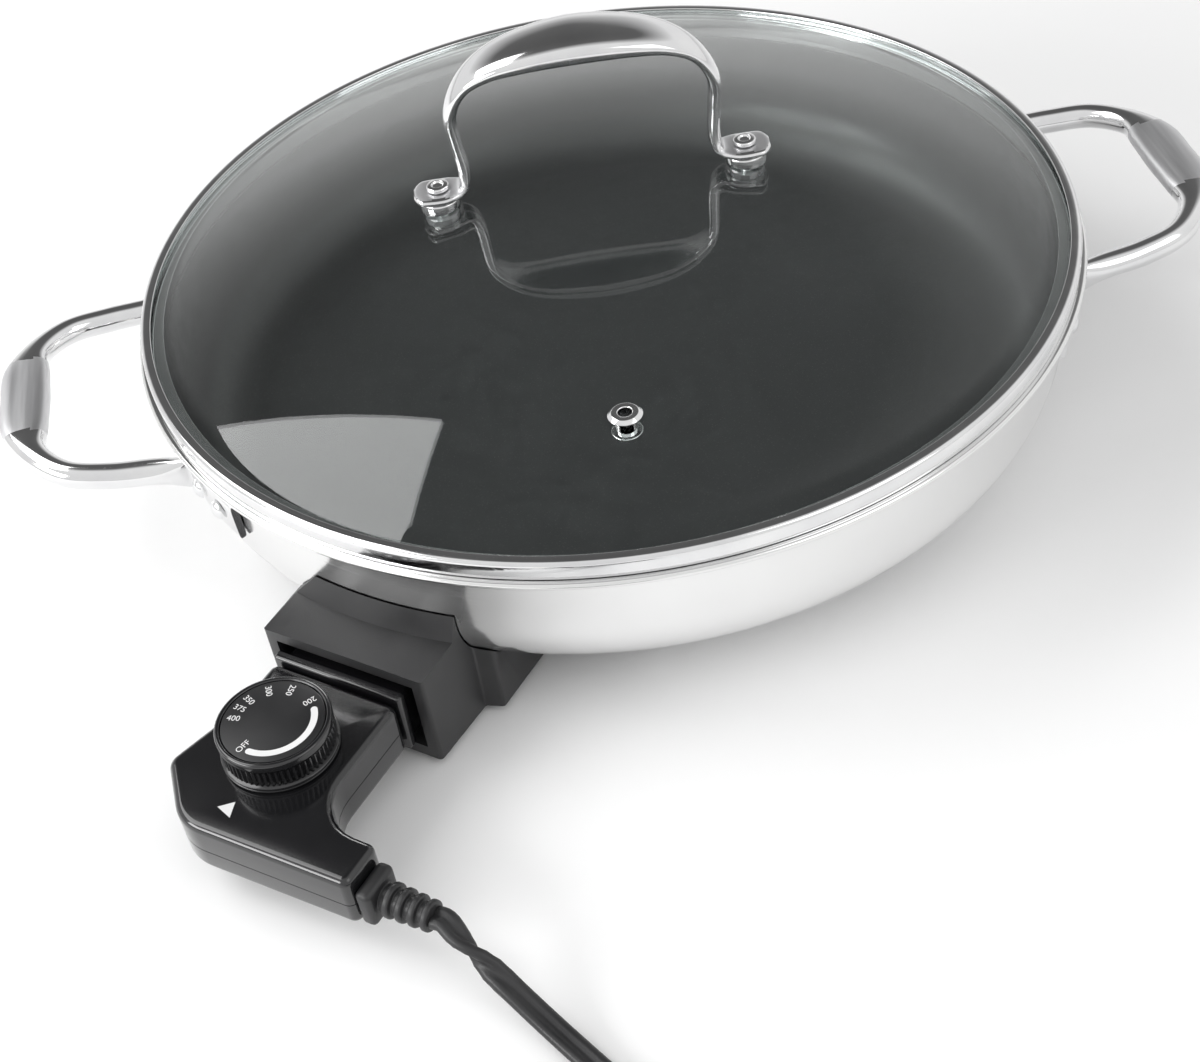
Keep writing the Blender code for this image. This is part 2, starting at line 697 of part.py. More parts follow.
def side_handle(name, side, axis):
    """A forged loop whose ends flatten into tabs along the pan's wall."""
    half = []
    for i in range(4):
        turn = radians(TAB_START + (TAB_END - TAB_START) * i / 3)
        half.append((TAB_RADIUS * cos(turn), TAB_RADIUS * sin(turn), TAB_Z, TAB_THICK, TAB_HEIGHT))
    foot = half[-1]
    half += [
        (foot[0] + 0.0050, foot[1] - 0.0020, TAB_Z + 0.0006, 0.0058, 0.0108),
        (foot[0] + 0.0130, foot[1] - 0.0036, TAB_Z + 0.0016, ROD, ROD),
        (LOOP_REACH - 0.0270, foot[1] - 0.0052, LOOP_Z - 0.0042, ROD, ROD),
        (LOOP_REACH - 0.0130, foot[1] - 0.0095, LOOP_Z - 0.0028, ROD, ROD),
        (LOOP_REACH - 0.0030, foot[1] - 0.0210, LOOP_Z - 0.0012, ROD + 0.0014, ROD - 0.0004),
        (LOOP_REACH, foot[1] - 0.0340, LOOP_Z - 0.0002, SIDE_GRIP_WIDTH, SIDE_GRIP_THICK),
    ]
    middle = [(LOOP_REACH, 0.0, LOOP_Z, SIDE_GRIP_WIDTH + 0.0006, SIDE_GRIP_THICK)]
    route = half + middle + [(x, -y, z, w, h) for x, y, z, w, h in reversed(half)]
    rows = through(route, 2 * (len(route) - 1))
    rows = [[side * row[0]] + row[1:] for row in rows]
    return loft(name, rows, steel(), axis, sides=10)


def rivets(axis):
    """Domed rivet heads on the handle tabs, two a tab."""
    for side, hand in ((-1, "left"), (1, "right")):
        number = 0
        for front in (-1, 1):
            for angle in RIVET_ANGLES:
                number += 1
                start = PAN_RADIUS + GAP + TAB_THICK + 2 * GAP
                name = f"rivet_{hand}_{number}"
                mesh = rod_mesh(name, RIVET_HEAD, (start, 0.0, 0.0), RIVET_RISE, "x", 8, RIVET_HEAD * 0.55)
                turn = radians(front * angle) if side > 0 else pi - radians(front * angle)
                obj = add(mesh.name, mesh, steel(), axis, (0.0, 0.0, TAB_Z))
                obj.rotation_euler = (0.0, 0.0, turn)
                smooth(obj, 60.0)


# ---- the lid ----
def lid_ring(lid):
    skirt = PAN_INNER - LID_FIT
    glass_low = GLASS_EDGE_TOP - GLASS - GAP
    profile = [
        (LIP_RADIUS, RING_TOP - 0.0001), (RING_RADIUS - 0.0009, RING_TOP), (RING_RADIUS, RING_TOP - 0.0009),
        (RING_RADIUS, RING_LOW), (skirt, RING_LOW), (skirt, RING_LOW - SKIRT_DEPTH),
        (skirt - SKIRT_WALL, RING_LOW - SKIRT_DEPTH), (skirt - SKIRT_WALL, glass_low),
        (GLASS_RADIUS + GAP, glass_low), (GLASS_RADIUS + GAP, RING_TOP - RING_SKIN), (LIP_RADIUS, RING_TOP - RING_SKIN),
    ]
    return turned("lid_ring", profile, steel(), lid, sides=SIDES, closed=True)


def lid_glass(lid):
    steps = 6
    top = []
    for i in range(1, steps + 1):
        radius = LIP_RADIUS * i / steps
        top.append((radius, dome_height(radius)))
    under = [(radius - 0.001, height - GLASS) for radius, height in reversed(top)]
    profile = [(0.0, DOME_TOP)] + top + [(GLASS_RADIUS, GLASS_EDGE_TOP), (GLASS_RADIUS, GLASS_EDGE_TOP - GLASS)]
    profile += under + [(0.0, DOME_TOP - GLASS)]
    look = material("tempered_glass", (0.80, 0.84, 0.83), 0.04, 0.0, 0.35)
    glass = turned("lid_glass", profile, look, lid, sides=SIDES)
    spots = [(VENT_RADIUS * cos(radians(VENT_ANGLE)), VENT_RADIUS * sin(radians(VENT_ANGLE)), VENT_BODY - 0.0014)]
    spots += [(LID_FOOT_X, 0.0, SCREW_RADIUS), (-LID_FOOT_X, 0.0, SCREW_RADIUS)]
    for i, (x, y, radius) in enumerate(spots):
        hole = add(f"glass_hole_{i}", rod_mesh("hole", radius + GAP, (x, y, 0.06), 0.05, sides=12), None, lid)
        cut(glass, hole)
    return glass


def vent_grommet(lid):
    """A pierced steel eyelet through the glass; its collars clear the slope of the dome."""
    turn = radians(VENT_ANGLE)
    place = (VENT_RADIUS * cos(turn), VENT_RADIUS * sin(turn), 0.0)
    slope = VENT_RADIUS / DOME_CURVE
    top = dome_height(VENT_RADIUS) + slope * (VENT_BODY + 0.0008) + GAP
    low = dome_height(VENT_RADIUS) - GLASS - slope * (VENT_BODY + 0.0008) - 0.0008
    neck = VENT_BODY - 0.0014
    profile = [
        (VENT_HOLE, top + 0.0010), (VENT_BODY, top + 0.0010), (VENT_BODY + 0.0008, top), (neck, top), (neck, low),
        (VENT_BODY + 0.0006, low), (VENT_BODY, low - 0.0008), (VENT_HOLE, low - 0.0008),
    ]
    return turned("vent_grommet", profile, steel(), lid, place, closed=True)


def lid_handle(lid):
    """A formed arch: flat tabs, slim legs and a wide hollow-looking grip."""
    tab_z = dome_height(LID_FOOT_X) + LID_TAB_RISE + LID_TAB_THICK / 2
    top = tab_z + LID_ARCH
    outer = LID_LEG_X + LID_TAB_LENGTH
    half = [
        (-outer, 0.0, tab_z, LID_TAB_WIDTH * 0.55, LID_TAB_THICK),
        (-outer + 0.0030, 0.0, tab_z, LID_TAB_WIDTH, LID_TAB_THICK),
        (-LID_FOOT_X + 0.0030, 0.0, tab_z, LID_TAB_WIDTH, LID_TAB_THICK),
        (-LID_LEG_X - 0.0014, 0.0, tab_z + 0.0012, LEG_WIDTH + 0.0020, LEG_THICK - 0.0010),
        (-LID_LEG_X, 0.0, tab_z + 0.0070, LEG_WIDTH, LEG_THICK),
        (-LID_LEG_X - 0.0010, 0.0, tab_z + 0.0180, LEG_WIDTH + 0.0003, LEG_THICK),
        (-LID_LEG_X - 0.0012, 0.0, tab_z + 0.0275, LEG_WIDTH + 0.0020, LEG_THICK + 0.0002),
        (-LID_LEG_X + 0.0036, 0.0, top - 0.0102, LEG_WIDTH + 0.0055, LEG_THICK + 0.0006),
        (-LID_LEG_X + 0.0120, 0.0, top - 0.0044, GRIP_WIDTH - 0.0065, GRIP_THICK - 0.0034),
        (-LID_LEG_X + 0.0240, 0.0, top - 0.0013, GRIP_WIDTH - 0.0022, GRIP_THICK - 0.0014),
    ]
    middle = [(0.0, 0.0, top, GRIP_WIDTH, GRIP_THICK)]
    route = half + middle + [(-x, y, z, w, h) for x, y, z, w, h in reversed(half)]
    rows = through(route, 2 * (len(route) - 1))
    handle = loft("lid_handle", rows, steel(), lid, sides=12, square=3.0)
    for side in (-1, 1):
        place = (side * LID_FOOT_X, 0.0, tab_z - 0.01)
        hole = add(f"tab_hole_{side}", rod_mesh("hole", SCREW_RADIUS + GAP, place, 0.02, sides=12), None, lid)
        cut(handle, hole)
    return tab_z


def lid_fixings(lid, tab_z):
    """At each foot of the lid's handle: spacer, screw from above and a washer nut below the glass."""
    for side, word in ((-1, "left"), (1, "right")):
        place = (side * LID_FOOT_X, 0.0, 0.0)
        bore = SCREW_RADIUS + GAP
        radius = LID_TAB_WIDTH / 2 - 0.0004
        rise = tab_z - LID_TAB_THICK / 2 - GAP
        low = dome_height(LID_FOOT_X)
        profile = [(bore, rise), (radius - 0.0005, rise), (radius, rise - 0.0005), (radius, low), (bore, low)]
        spacer = to_mesh(turned(f"lid_spacer_{word}", profile, steel(), lid, place, closed=True))
        for vertex in spacer.data.vertices:
            if vertex.co.z < low + 0.00001:
                spot = hypot(vertex.co.x + place[0], vertex.co.y)
                vertex.co.z = dome_height(spot) + GAP + 0.0001
        head = tab_z + LID_TAB_THICK / 2 + GAP
        nut_top = dome_height(LID_FOOT_X + 0.006) - GLASS - GAP
        tip = nut_top - 0.0022
        profile = [(0.0, head + 0.0016), (0.0026, head + 0.0014), (0.0037, head + 0.0005), (0.0037, head)]
        profile += [(SCREW_RADIUS, head), (SCREW_RADIUS, tip - 0.0010), (0.0, tip - 0.0010)]
        turned(f"lid_screw_{word}", profile, steel(), lid, place, sides=12)
        profile = [(bore, nut_top), (0.0055, nut_top), (0.0055, tip), (bore, tip)]
        turned(f"lid_nut_{word}", profile, brushed(), lid, place, sides=12, closed=True)


# ---- the heat control ----
def control_outline():
    """Plan of the control: straight from the pan, then a leg to the side that ends at the cord."""
    corners = [
        (CONTROL_START, -CONTROL_HALF, CONTROL_EDGE), (CONTROL_START, CONTROL_HALF, CONTROL_EDGE),
        (CONTROL_LEG_NEAR, CONTROL_HALF, 0.0150), (CONTROL_LEG_NEAR, CONTROL_LEG_END, CONTROL_EDGE),
        (CONTROL_FAR - 0.0014, CONTROL_LEG_END, CONTROL_EDGE), (CONTROL_FAR, -0.0120, 0.0160),
        (CONTROL_LEG_NEAR - 0.0004, -CONTROL_HALF - 0.0062, 0.0050),
        (CONTROL_LEG_NEAR - 0.0240, -CONTROL_HALF, 0.0200),
    ]
    outline = rounded_outline(corners, 3)
    outline.reverse()
    return outline


def control_cover(line):
    outline = control_outline()
    cover = shell("control_cover", outline, CONTROL_SPLIT, CONTROL_TOP, -1, CONTROL_WALL, CONTROL_BEVEL, glossy(), line)
    place = (DIAL_U, 0.0, CONTROL_TOP - 0.005)
    hole = add("cover_hole", rod_mesh("hole", SHAFT_RADIUS + 0.0006, place, 0.01, sides=12), None, line)
    cut(cover, hole)
    pocket = pointer_outline(0.00015)
    floor = CONTROL_TOP - 0.0006
    tool = prism("pointer_pocket", pocket, floor, CONTROL_TOP + 0.001, None, line)
    cut(cover, tool)
    prism("control_pointer", pointer_outline(0.0), floor + 0.0001, CONTROL_TOP + 0.0001, pale(), line)


def pale():
    return material("pale_print", (0.62, 0.62, 0.62), 0.45)


def pointer_outline(grow):
    """A triangle that points at the dial from its far left."""
    middle = Vector((DIAL_U, 0.0)) + Vector((0.0247, -0.0010))
    points = []
    for turn, reach in ((168.0, 0.0029), (47.0, 0.0034), (-79.0, 0.0032)):
        out = Vector((cos(radians(turn)), sin(radians(turn)))) * (reach + 2 * grow)
        points.append((middle + out).to_tuple())
    return points


def control_base(line):
    outline = control_outline()
    top = CONTROL_SPLIT - GAP
    base = shell("control_base", outline, CONTROL_BOTTOM, top, 1, CONTROL_WALL, CONTROL_BEVEL, glossy(), line)
    for number, (u, v) in enumerate(BASE_SCREWS, 1):
        place = (u, v, CONTROL_BOTTOM - 0.001)
        hole = add(f"base_hole_{number}", rod_mesh("hole", 0.0012 + GAP, place, 0.006, sides=12), None, line)
        cut(base, hole)
        low = CONTROL_BOTTOM - GAP
        profile = [(0.0, CONTROL_BOTTOM + 0.005), (0.0012, CONTROL_BOTTOM + 0.005), (0.0012, low), (0.0026, low)]
        profile += [(0.0026, low - 0.0006), (0.0020, low - 0.0011), (0.0, low - 0.0011)]
        turned(f"control_screw_{number}", profile, brushed(), line, (u, v, 0.0), sides=12)
    return base


def control_nose(line):
    """Flange and nose that enter the bracket, with holes for the sockets and the probe."""
    low = (FLANGE_START, -FLANGE_HALF, FLANGE_LOW)
    flange = box("control_nose", low, (CONTROL_START - GAP, FLANGE_HALF, FLANGE_TOP), glossy(), line, bevel=0.0008)
    low = (NOSE_START, -NOSE_HALF, FLANGE_LOW + 0.0004)
    nose = box("nose_block", low, (FLANGE_START + 0.001, NOSE_HALF, FLANGE_TOP - 0.0024), None, line, bevel=0.0008)
    boolean(flange, nose, "UNION")
    length = CONTROL_START - NOSE_START + 0.004
    spots = (("left", -PIN_SPREAD, SOCKET_RADIUS), ("middle", 0.0, PROBE_RADIUS), ("right", PIN_SPREAD, SOCKET_RADIUS))
    for word, v, radius in spots:
        place = (NOSE_START - 0.002, v, PROBE_Z)
        hole = add(f"nose_hole_{word}", rod_mesh("hole", radius + GAP, place, length, "x", 12), None, line)
        cut(flange, hole)
    for word, side in (("left", -1), ("right", 1)):
        place = (NOSE_START + 0.001, side * PIN_SPREAD, PROBE_Z)
        socket = add(f"socket_{word}", rod_mesh("socket", SOCKET_RADIUS, place, 0.0190, "x", 12), steel(), line)
        inner = (NOSE_START, side * PIN_SPREAD, PROBE_Z)
        bore = add(f"socket_bore_{word}", rod_mesh("bore", PIN_RADIUS + GAP, inner, 0.0150, "x", 12), None, line)
        cut(socket, bore)
    length = CONTROL_START - 0.001 - PROBE_TIP
    rod("probe", PROBE_RADIUS, (PROBE_TIP, 0.0, PROBE_Z), length, steel(), line, axis="x", sides=12)


def dial(line):
    """The knob, its printed disc, and the screw that turns with it; all on the dial's axis."""
    low = CONTROL_TOP + 0.0007
    wide = DIAL_RADIUS + 0.0004
    grip = DIAL_RADIUS - 0.0007
    roof = DIAL_TOP - 0.0034
    well = DIAL_TOP - 0.0012
    face = DIAL_RADIUS - 0.0016
    profile = [
        (0.0, well), (face, well), (face, DIAL_TOP), (DIAL_RADIUS - 0.0004, DIAL_TOP),
        (DIAL_RADIUS, DIAL_TOP - 0.0005), (DIAL_RADIUS, DIAL_TOP - 0.0024), (grip, DIAL_TOP - 0.0028),
        (grip, low + 0.0021), (wide, low + 0.0017), (wide, low), (0.0130, low), (0.0130, roof), (0.0050, roof),
        (0.0050, low), (SHAFT_RADIUS + GAP, low), (SHAFT_RADIUS + GAP, roof), (0.0, roof),
    ]
    place = (DIAL_U, 0.0, 0.0)
    turned("dial", profile, glossy(), line, place, sides=32)
    top = well + 2 * GAP + 0.0004
    profile = [(0.0, top), (face - GAP, top), (face - GAP, well + GAP), (0.0, well + GAP)]
    turned("dial_face", profile, phenolic(), line, place, sides=32)
    foot = CONTROL_SPLIT - 0.0003
    profile = [(0.0, roof - GAP), (SHAFT_RADIUS, roof - GAP), (SHAFT_RADIUS, foot + 0.0030)]
    profile += [(CAM_RADIUS, foot + 0.0030), (CAM_RADIUS, foot), (0.0, foot)]
    turned("dial_screw", profile, brushed(), line, place)


def thermostat(line):
    """The ceramic stack and the spring strip that the dial's screw presses."""
    top = CONTROL_SPLIT - 0.0003 - 0.0004
    low = CONTROL_BOTTOM + CONTROL_WALL + GAP
    ceramic = material("ceramic", (0.78, 0.75, 0.68), 0.60)
    start = ARM_END + GAP
    box("thermostat_block", (start, -0.0055, low), (start + 0.0085, 0.0055, top), ceramic, line)
    brass = material("contact_brass", (0.72, 0.53, 0.25), 0.35, 1.0)
    arm_low = (ARM_END - ARM_LENGTH, -0.0022, top - ARM_THICK)
    box("contact_arm", arm_low, (ARM_END, 0.0022, top), brass, line)


def strain_relief(line):
    """A chamfered block and a ribbed boot where the cord leaves the control."""
    half = RELIEF_BLOCK / 2
    low = (RELIEF_U - half, RELIEF_START, RELIEF_Z - half)
    high = (RELIEF_U + half, RELIEF_START + RELIEF_BLOCK_LENGTH, RELIEF_Z + half)
    block = box("strain_relief", low, high, rubber(), line, bevel=0.0016)
    profile = [(0.0, RELIEF_LENGTH)]
    ribs = 4
    pitch = RELIEF_LENGTH / ribs
    for i in range(ribs):
        end = RELIEF_LENGTH - pitch * i
        rib = RELIEF_RADIUS + 0.0002 * i
        profile += [(rib - 0.0004, end), (rib, end - 0.0005), (rib, end - pitch * 0.45), (rib - 0.0012, end - pitch * 0.6)]
        profile.append((rib - 0.0012, end - pitch + 0.0001))
    profile += [(RELIEF_RADIUS - 0.0004, -0.002), (0.0, -0.002)]
    place = (RELIEF_U, RELIEF_START + RELIEF_BLOCK_LENGTH, RELIEF_Z)
    boot = turned("relief_boot", profile, None, line, place)
    boot.rotation_euler = (-pi / 2, 0.0, 0.0)
    boolean(block, boot, "UNION")


# ---- the cord ----
def cord():
    """Lead, coil, tie and tail; they move with the control."""
    ahead = Vector((-sin(PROBE_TURN), cos(PROBE_TURN), 0.0))
    across = Vector((cos(PROBE_TURN), sin(PROBE_TURN), 0.0))
    mouth = Vector((0.0, PAN_Y, RELIEF_Z)) + across * RELIEF_U + ahead * (RELIEF_END + GAP)
    lead = [tuple(mouth), tuple(mouth + ahead * 0.0035)] + LEAD_ROUTE
    tube("cord_lead", through(lead, CORD_POINTS), CORD_RADIUS, rubber())
    tube("cord_tail", through(TAIL_ROUTE, TAIL_POINTS), CORD_RADIUS, rubber())
    inner = COIL_RADIUS - COIL_BAND
    outer = COIL_RADIUS + COIL_BAND
    top = COIL_LOW + COIL_HEIGHT
    profile = [(inner, top), (outer, top), (outer, COIL_LOW), (inner, COIL_LOW)]
    turned("cord_coil", profile, rubber(), None, (*COIL_CENTRE, 0.0), sides=32, closed=True)
    centre = Vector((COIL_CENTRE[0] - COIL_RADIUS, COIL_CENTRE[1], COIL_LOW + COIL_HEIGHT / 2))
    room = Vector((COIL_BAND + 0.0005, 0.0050, COIL_HEIGHT / 2 + GAP))
    wall = Vector((0.0006, -0.0010, 0.0006))
    tie = box("cord_tie", centre - room - wall, centre + room + wall, rubber())
    hole = box("tie_hole", centre - room, centre + room, None)
    cut(tie, hole)


def plug():
    """A two-blade plug that lies flat, its blades towards -X."""
    half_width = PLUG_WIDTH / 2
    neck = 0.0055
    corners = [
        (PLUG_X, neck, 0.0010), (PLUG_X - 0.0100, neck + 0.0008, 0.0060),
        (PLUG_X - 0.0180, half_width, 0.0040), (PLUG_X - PLUG_LENGTH, half_width, 0.0012),
    ]
    corners += [(x, -y, r) for x, y, r in reversed(corners)]
    outline = [(x, y + PLUG_Y) for x, y in rounded_outline(corners, 3)]
    body = prism("plug_body", outline, PLUG_Z - PLUG_THICK / 2, PLUG_Z + PLUG_THICK / 2, rubber())
    edges = body.modifiers.new("edges", "BEVEL")
    edges.width = 0.0012
    edges.segments = 2
    edges.limit_method = "ANGLE"
    edges.angle_limit = radians(60.0)
    for word, side in (("left", -1), ("right", 1)):
        y = PLUG_Y + side * BLADE_SPREAD
        high = (PLUG_X - PLUG_LENGTH - GAP, y + BLADE_THICK / 2, PLUG_Z + BLADE_WIDTH / 2)
        low = (high[0] - BLADE_LENGTH, y - BLADE_THICK / 2, PLUG_Z - BLADE_WIDTH / 2)
        box(f"plug_blade_{word}", low, high, material("plug_brass", (0.76, 0.66, 0.42), 0.28, 1.0))


def build():
    global parts, cutters
    clear_scene()
    parts = make_collection("electric_griddle")
    cutters = make_collection("cutters")
    axis = guide("pan_axis", (0.0, PAN_Y, 0.0), 0.0)
    line = guide("probe_line", (0.0, PAN_Y, 0.0), PROBE_TURN)
    back = guide("rear_line", (0.0, PAN_Y, 0.0), PROBE_TURN + pi)
    lid = guide("lid_axis", (0.0, PAN_Y, 0.0), radians(LID_YAW))

    pan_shell(axis)
    pan_lining(axis)
    heat_plate(axis)
    heating_element(line)
    sensor_guide(line)
    front_bracket(line, axis)
    rear_bracket(back, axis)
    side_handle("side_handle_left", -1, axis)
    side_handle("side_handle_right", 1, axis)
    rivets(axis)

    lid_ring(lid)
    lid_glass(lid)
    vent_grommet(lid)
    tab_z = lid_handle(lid)
    lid_fixings(lid, tab_z)

    control_cover(line)
    control_base(line)
    control_nose(line)
    dial(line)
    thermostat(line)
    strain_relief(line)
    cord()
    plug()


build()
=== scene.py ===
"""Looks for the round electric griddle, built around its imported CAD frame. Metres, +Z up."""

from math import cos, hypot, pi, radians, sin, sqrt, tau

import bmesh
import bpy
from mathutils import Matrix, Vector


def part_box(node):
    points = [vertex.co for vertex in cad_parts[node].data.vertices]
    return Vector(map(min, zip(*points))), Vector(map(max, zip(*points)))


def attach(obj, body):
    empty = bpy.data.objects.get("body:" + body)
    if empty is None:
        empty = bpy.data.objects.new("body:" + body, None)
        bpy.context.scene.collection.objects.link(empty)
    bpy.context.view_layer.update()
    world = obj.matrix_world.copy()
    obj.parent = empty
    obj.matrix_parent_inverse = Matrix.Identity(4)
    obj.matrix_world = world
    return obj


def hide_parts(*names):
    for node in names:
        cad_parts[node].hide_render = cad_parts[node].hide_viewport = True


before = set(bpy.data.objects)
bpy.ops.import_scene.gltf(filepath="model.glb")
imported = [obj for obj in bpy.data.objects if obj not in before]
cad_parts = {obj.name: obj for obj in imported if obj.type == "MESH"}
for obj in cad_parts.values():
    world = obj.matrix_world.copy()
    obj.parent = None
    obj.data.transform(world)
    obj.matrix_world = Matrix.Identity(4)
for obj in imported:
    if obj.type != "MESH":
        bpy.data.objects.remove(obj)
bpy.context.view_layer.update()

# ---- places taken from the frame ----
RIM_LOW, RIM_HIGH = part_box("pan_shell")
PAN_Y = (RIM_LOW.y + RIM_HIGH.y) / 2
RIM_RADIUS = (RIM_HIGH.x - RIM_LOW.x) / 2
RIM_TOP = RIM_HIGH.z
PAN_BASE = RIM_LOW.z
RING_RADIUS = (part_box("lid_ring")[1].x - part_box("lid_ring")[0].x) / 2
RING_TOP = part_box("lid_ring")[1].z
DOME_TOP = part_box("lid_glass")[1].z
DIAL_LOW, DIAL_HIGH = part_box("dial")

# ---- the CAD's own sizes that its boxes don't show ----
GAP = 0.0003
WALL_RADIUS = 0.151
WALL = 0.0015
CORNER = 0.025
RIM_HEIGHT = 0.0022
LINING = 0.0005
LINING_TOP = RIM_TOP - 0.006

HANDLE_Z = 0.0510         # middle of a side handle's tabs
LOOP_REACH = 0.1984       # the loop's far side, from the pan's middle
LOOP_Z = 0.0575
ROD = 0.0086
TAB_OUTER = 30.0          # a tab runs along the wall between these angles
TAB_INNER = 18.5
TAB_THICK = 0.0024
GRIP_FROM_FOOT = 0.0290
RIVET_ANGLES = (21.3, 26.3)
RIVET_RADIUS = 0.0034
RIVET_HEIGHT = 0.0017
RIVET_DOME = 0.0043

RING_SKIN = 0.0011
RING_LIP = 0.0037
SKIRT_DEPTH = 0.0033
SKIRT_PLAY = 0.0008       # between the lid's skirt and the pan's wall
GLASS = 0.0034
DOME_RISE = 0.0250
VENT_RADIUS = 0.1087      # from the lid's middle
VENT_ANGLE = -90.5
VENT_HOLE = 0.0033
VENT_COLLAR = 0.0052
LID_YAW = -6.0
LID_FOOT = 0.0500
LID_LEG = 0.0405
TAB_RISE = 0.0042
ARCH = 0.0468
SCREW_HOLE = 0.0023
SPACER_RADIUS = 0.0066

PROBE_ANGLE = -130.0      # the control points this way; u runs along it, v across
PROBE_Z = 0.0144
BRACKET_INNER = 0.1040
BRACKET_OFF = 0.0004      # between a bracket and the pan
WING_OUTER = 0.1190
SOCKET_HALF = 0.0288
SOCKET_WALL = 0.0042
BORE_RADIUS = 0.0038
BORE_V = 0.0220

CONTROL_SPLIT = 0.0205
CONTROL_TOP = 0.0305
CONTROL_LOW = 0.0118
CONTROL_WALL = 0.0012
COVER_EDGE = 0.0023
TRAY_EDGE = 0.0026
SHAFT_HOLE = 0.0028
CONTROL_SCREWS = ((0.1810, 0.0), (0.2252, 0.0340))
CONTROL_SCREW_HOLE = 0.0015
FLANGE_BOX = ((0.1696, -0.0227, 0.0106), (0.1730, 0.0227, 0.0322))
NOSE_BOX = ((0.1500, -0.0205, 0.0110), (0.1706, 0.0205, 0.0298))
NOSE_HOLES = ((-0.0110, 0.0033), (0.0, 0.0029), (0.0110, 0.0033))  # v and radius

DIAL_U = 0.2000
DIAL_RADIUS = 0.0170
DIAL_LAND = 0.0016        # the rim round the dial's face
DIAL_FLARE = 0.0004
DIAL_HOLLOW = 0.0130
RIBS = 60
RIB_DEPTH = 0.0009
MARKS = (("OFF", -11), ("200", 152), ("250", 190), ("300", 222), ("350", 252), ("375", 270), ("400", 289))
MARK_SIZE = 0.0027
MARK_RADIUS = 0.0138
BAND_RADIUS = 0.0120
BAND_HALF = 0.0010
BAND_START, BAND_END = 2.0, 134.0

RELIEF_AT = (0.2255, 0.0455, 0.0195)
RELIEF_HALF = 0.0065
RELIEF_DEPTH = 0.0050
BOOT_LENGTH = 0.0160
BOOT_RIBS = 4

WALL_INNER = WALL_RADIUS - WALL
LIP_RADIUS = RING_RADIUS - RING_LIP
GLASS_RADIUS = RING_RADIUS - 2 * RING_SKIN - GAP
GLASS_EDGE = RING_TOP - RING_SKIN - GAP
DOME_CURVE = (LIP_RADIUS ** 2 + DOME_RISE ** 2) / (2 * DOME_RISE)

AT_PAN = Matrix.Translation((0.0, PAN_Y, 0.0))
AT_LID = AT_PAN @ Matrix.Rotation(radians(LID_YAW), 4, "Z")
AT_PROBE = AT_PAN @ Matrix.Rotation(radians(PROBE_ANGLE), 4, "Z")
AT_REAR = AT_PAN @ Matrix.Rotation(radians(PROBE_ANGLE + 180.0), 4, "Z")
ROUND = 192               # facets of the large turned pieces

# ---- the camera, the light and the cord ----
CAMERA_PLACE = (-0.0579, -0.5343 + PAN_Y, 0.4396)
CAMERA_AIM = (-0.0271, -0.1359 + PAN_Y, 0.0700)
CAMERA_ROLL = 9.46
CAMERA_LENS = 58.0
PANEL_RISE = 53.0         # middle of the dark panel, in degrees of height
ROOM_GREYS = [(0.0, 0.95), (0.72, 1.0), (0.84, 0.48), (0.90, 0.15), (1.0, 0.12)]
ROOM_STRENGTH = 0.9
LIGHTS = (                # name, place, aim, size and power
    ("key", (-0.97, 0.45, 1.3), (0.0, 0.0, 0.0), (1.1, 0.85), 10.0),
    ("edge", (-1.35, -0.45, 0.62), (-0.15, -0.2, 0.03), (0.9, 0.5), 11.0),
    ("fill", (0.9, -0.9, 1.1), (0.0, 0.0, 0.0), (0.9, 0.9), 3.0),
)
CORD_LOBE = 0.0018
CORD_WEB = 0.0006
CORD_STIFF = 0.0035       # it leaves the boot straight for this far
TWIST = pi                # then it makes half a turn
TWIST_START = 0.003
TWIST_REACH = 0.026
LEAD_ROUTE = [
    (-0.0880, -0.1923, 0.0172),
    (-0.0795, -0.2032, 0.0108),
    (-0.0700, -0.2160, 0.0056),
    (-0.0605, -0.2297, 0.0030),
    (-0.0517, -0.2431, 0.0026),
]
TAIL_ROUTE = [
    (-0.0965, -0.3250, 0.0104),
    (-0.1080, -0.3250, 0.0088),
    (-0.1200, -0.3250, 0.0080),
]
COIL_CENTRE = (-0.0720, -0.2850)
COIL_RADIUS = 0.0400
COIL_ENTRY = 38.0         # where the lead joins the coil; it winds clockwise from above
COIL_EXIT = -90.0
COIL_TURNS = 2
COIL_LOW = 0.0030
LAYER = 0.0037
CLIMB = 70.0              # degrees over which a turn rises to the next layer


# ---- shapes ----
def linked(name, data):
    """A new object in the scene."""
    obj = bpy.data.objects.new(name, data)
    bpy.context.scene.collection.objects.link(obj)
    return obj


def settled(obj, name):
    """The mesh that an object's modifiers, or its text, give. The object itself goes."""
    graph = bpy.context.evaluated_depsgraph_get()
    made = bpy.data.meshes.new_from_object(obj.evaluated_get(graph))
    made.name = name
    bpy.data.objects.remove(obj)
    return made


def piece(name, mesh, body, look, *stands_for, slot=None, at=None, angle=32.0):
    """One visible piece: placed, shaded, given its material and set to ride on a body."""
    if at is not None:
        mesh.transform(at)
    obj = linked(name, mesh)
    mesh.shade_smooth()
    mesh.set_sharp_from_angle(angle=radians(angle))
    mesh.materials.clear()
    mesh.materials.append(look)
    if stands_for:
        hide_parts(*stands_for)
    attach(obj, body)
    return obj


def to_mesh(name, shape):
    """The mesh of a bmesh, which is freed."""
    mesh = bpy.data.meshes.new(name)
    shape.to_mesh(mesh)
    shape.free()
    return mesh


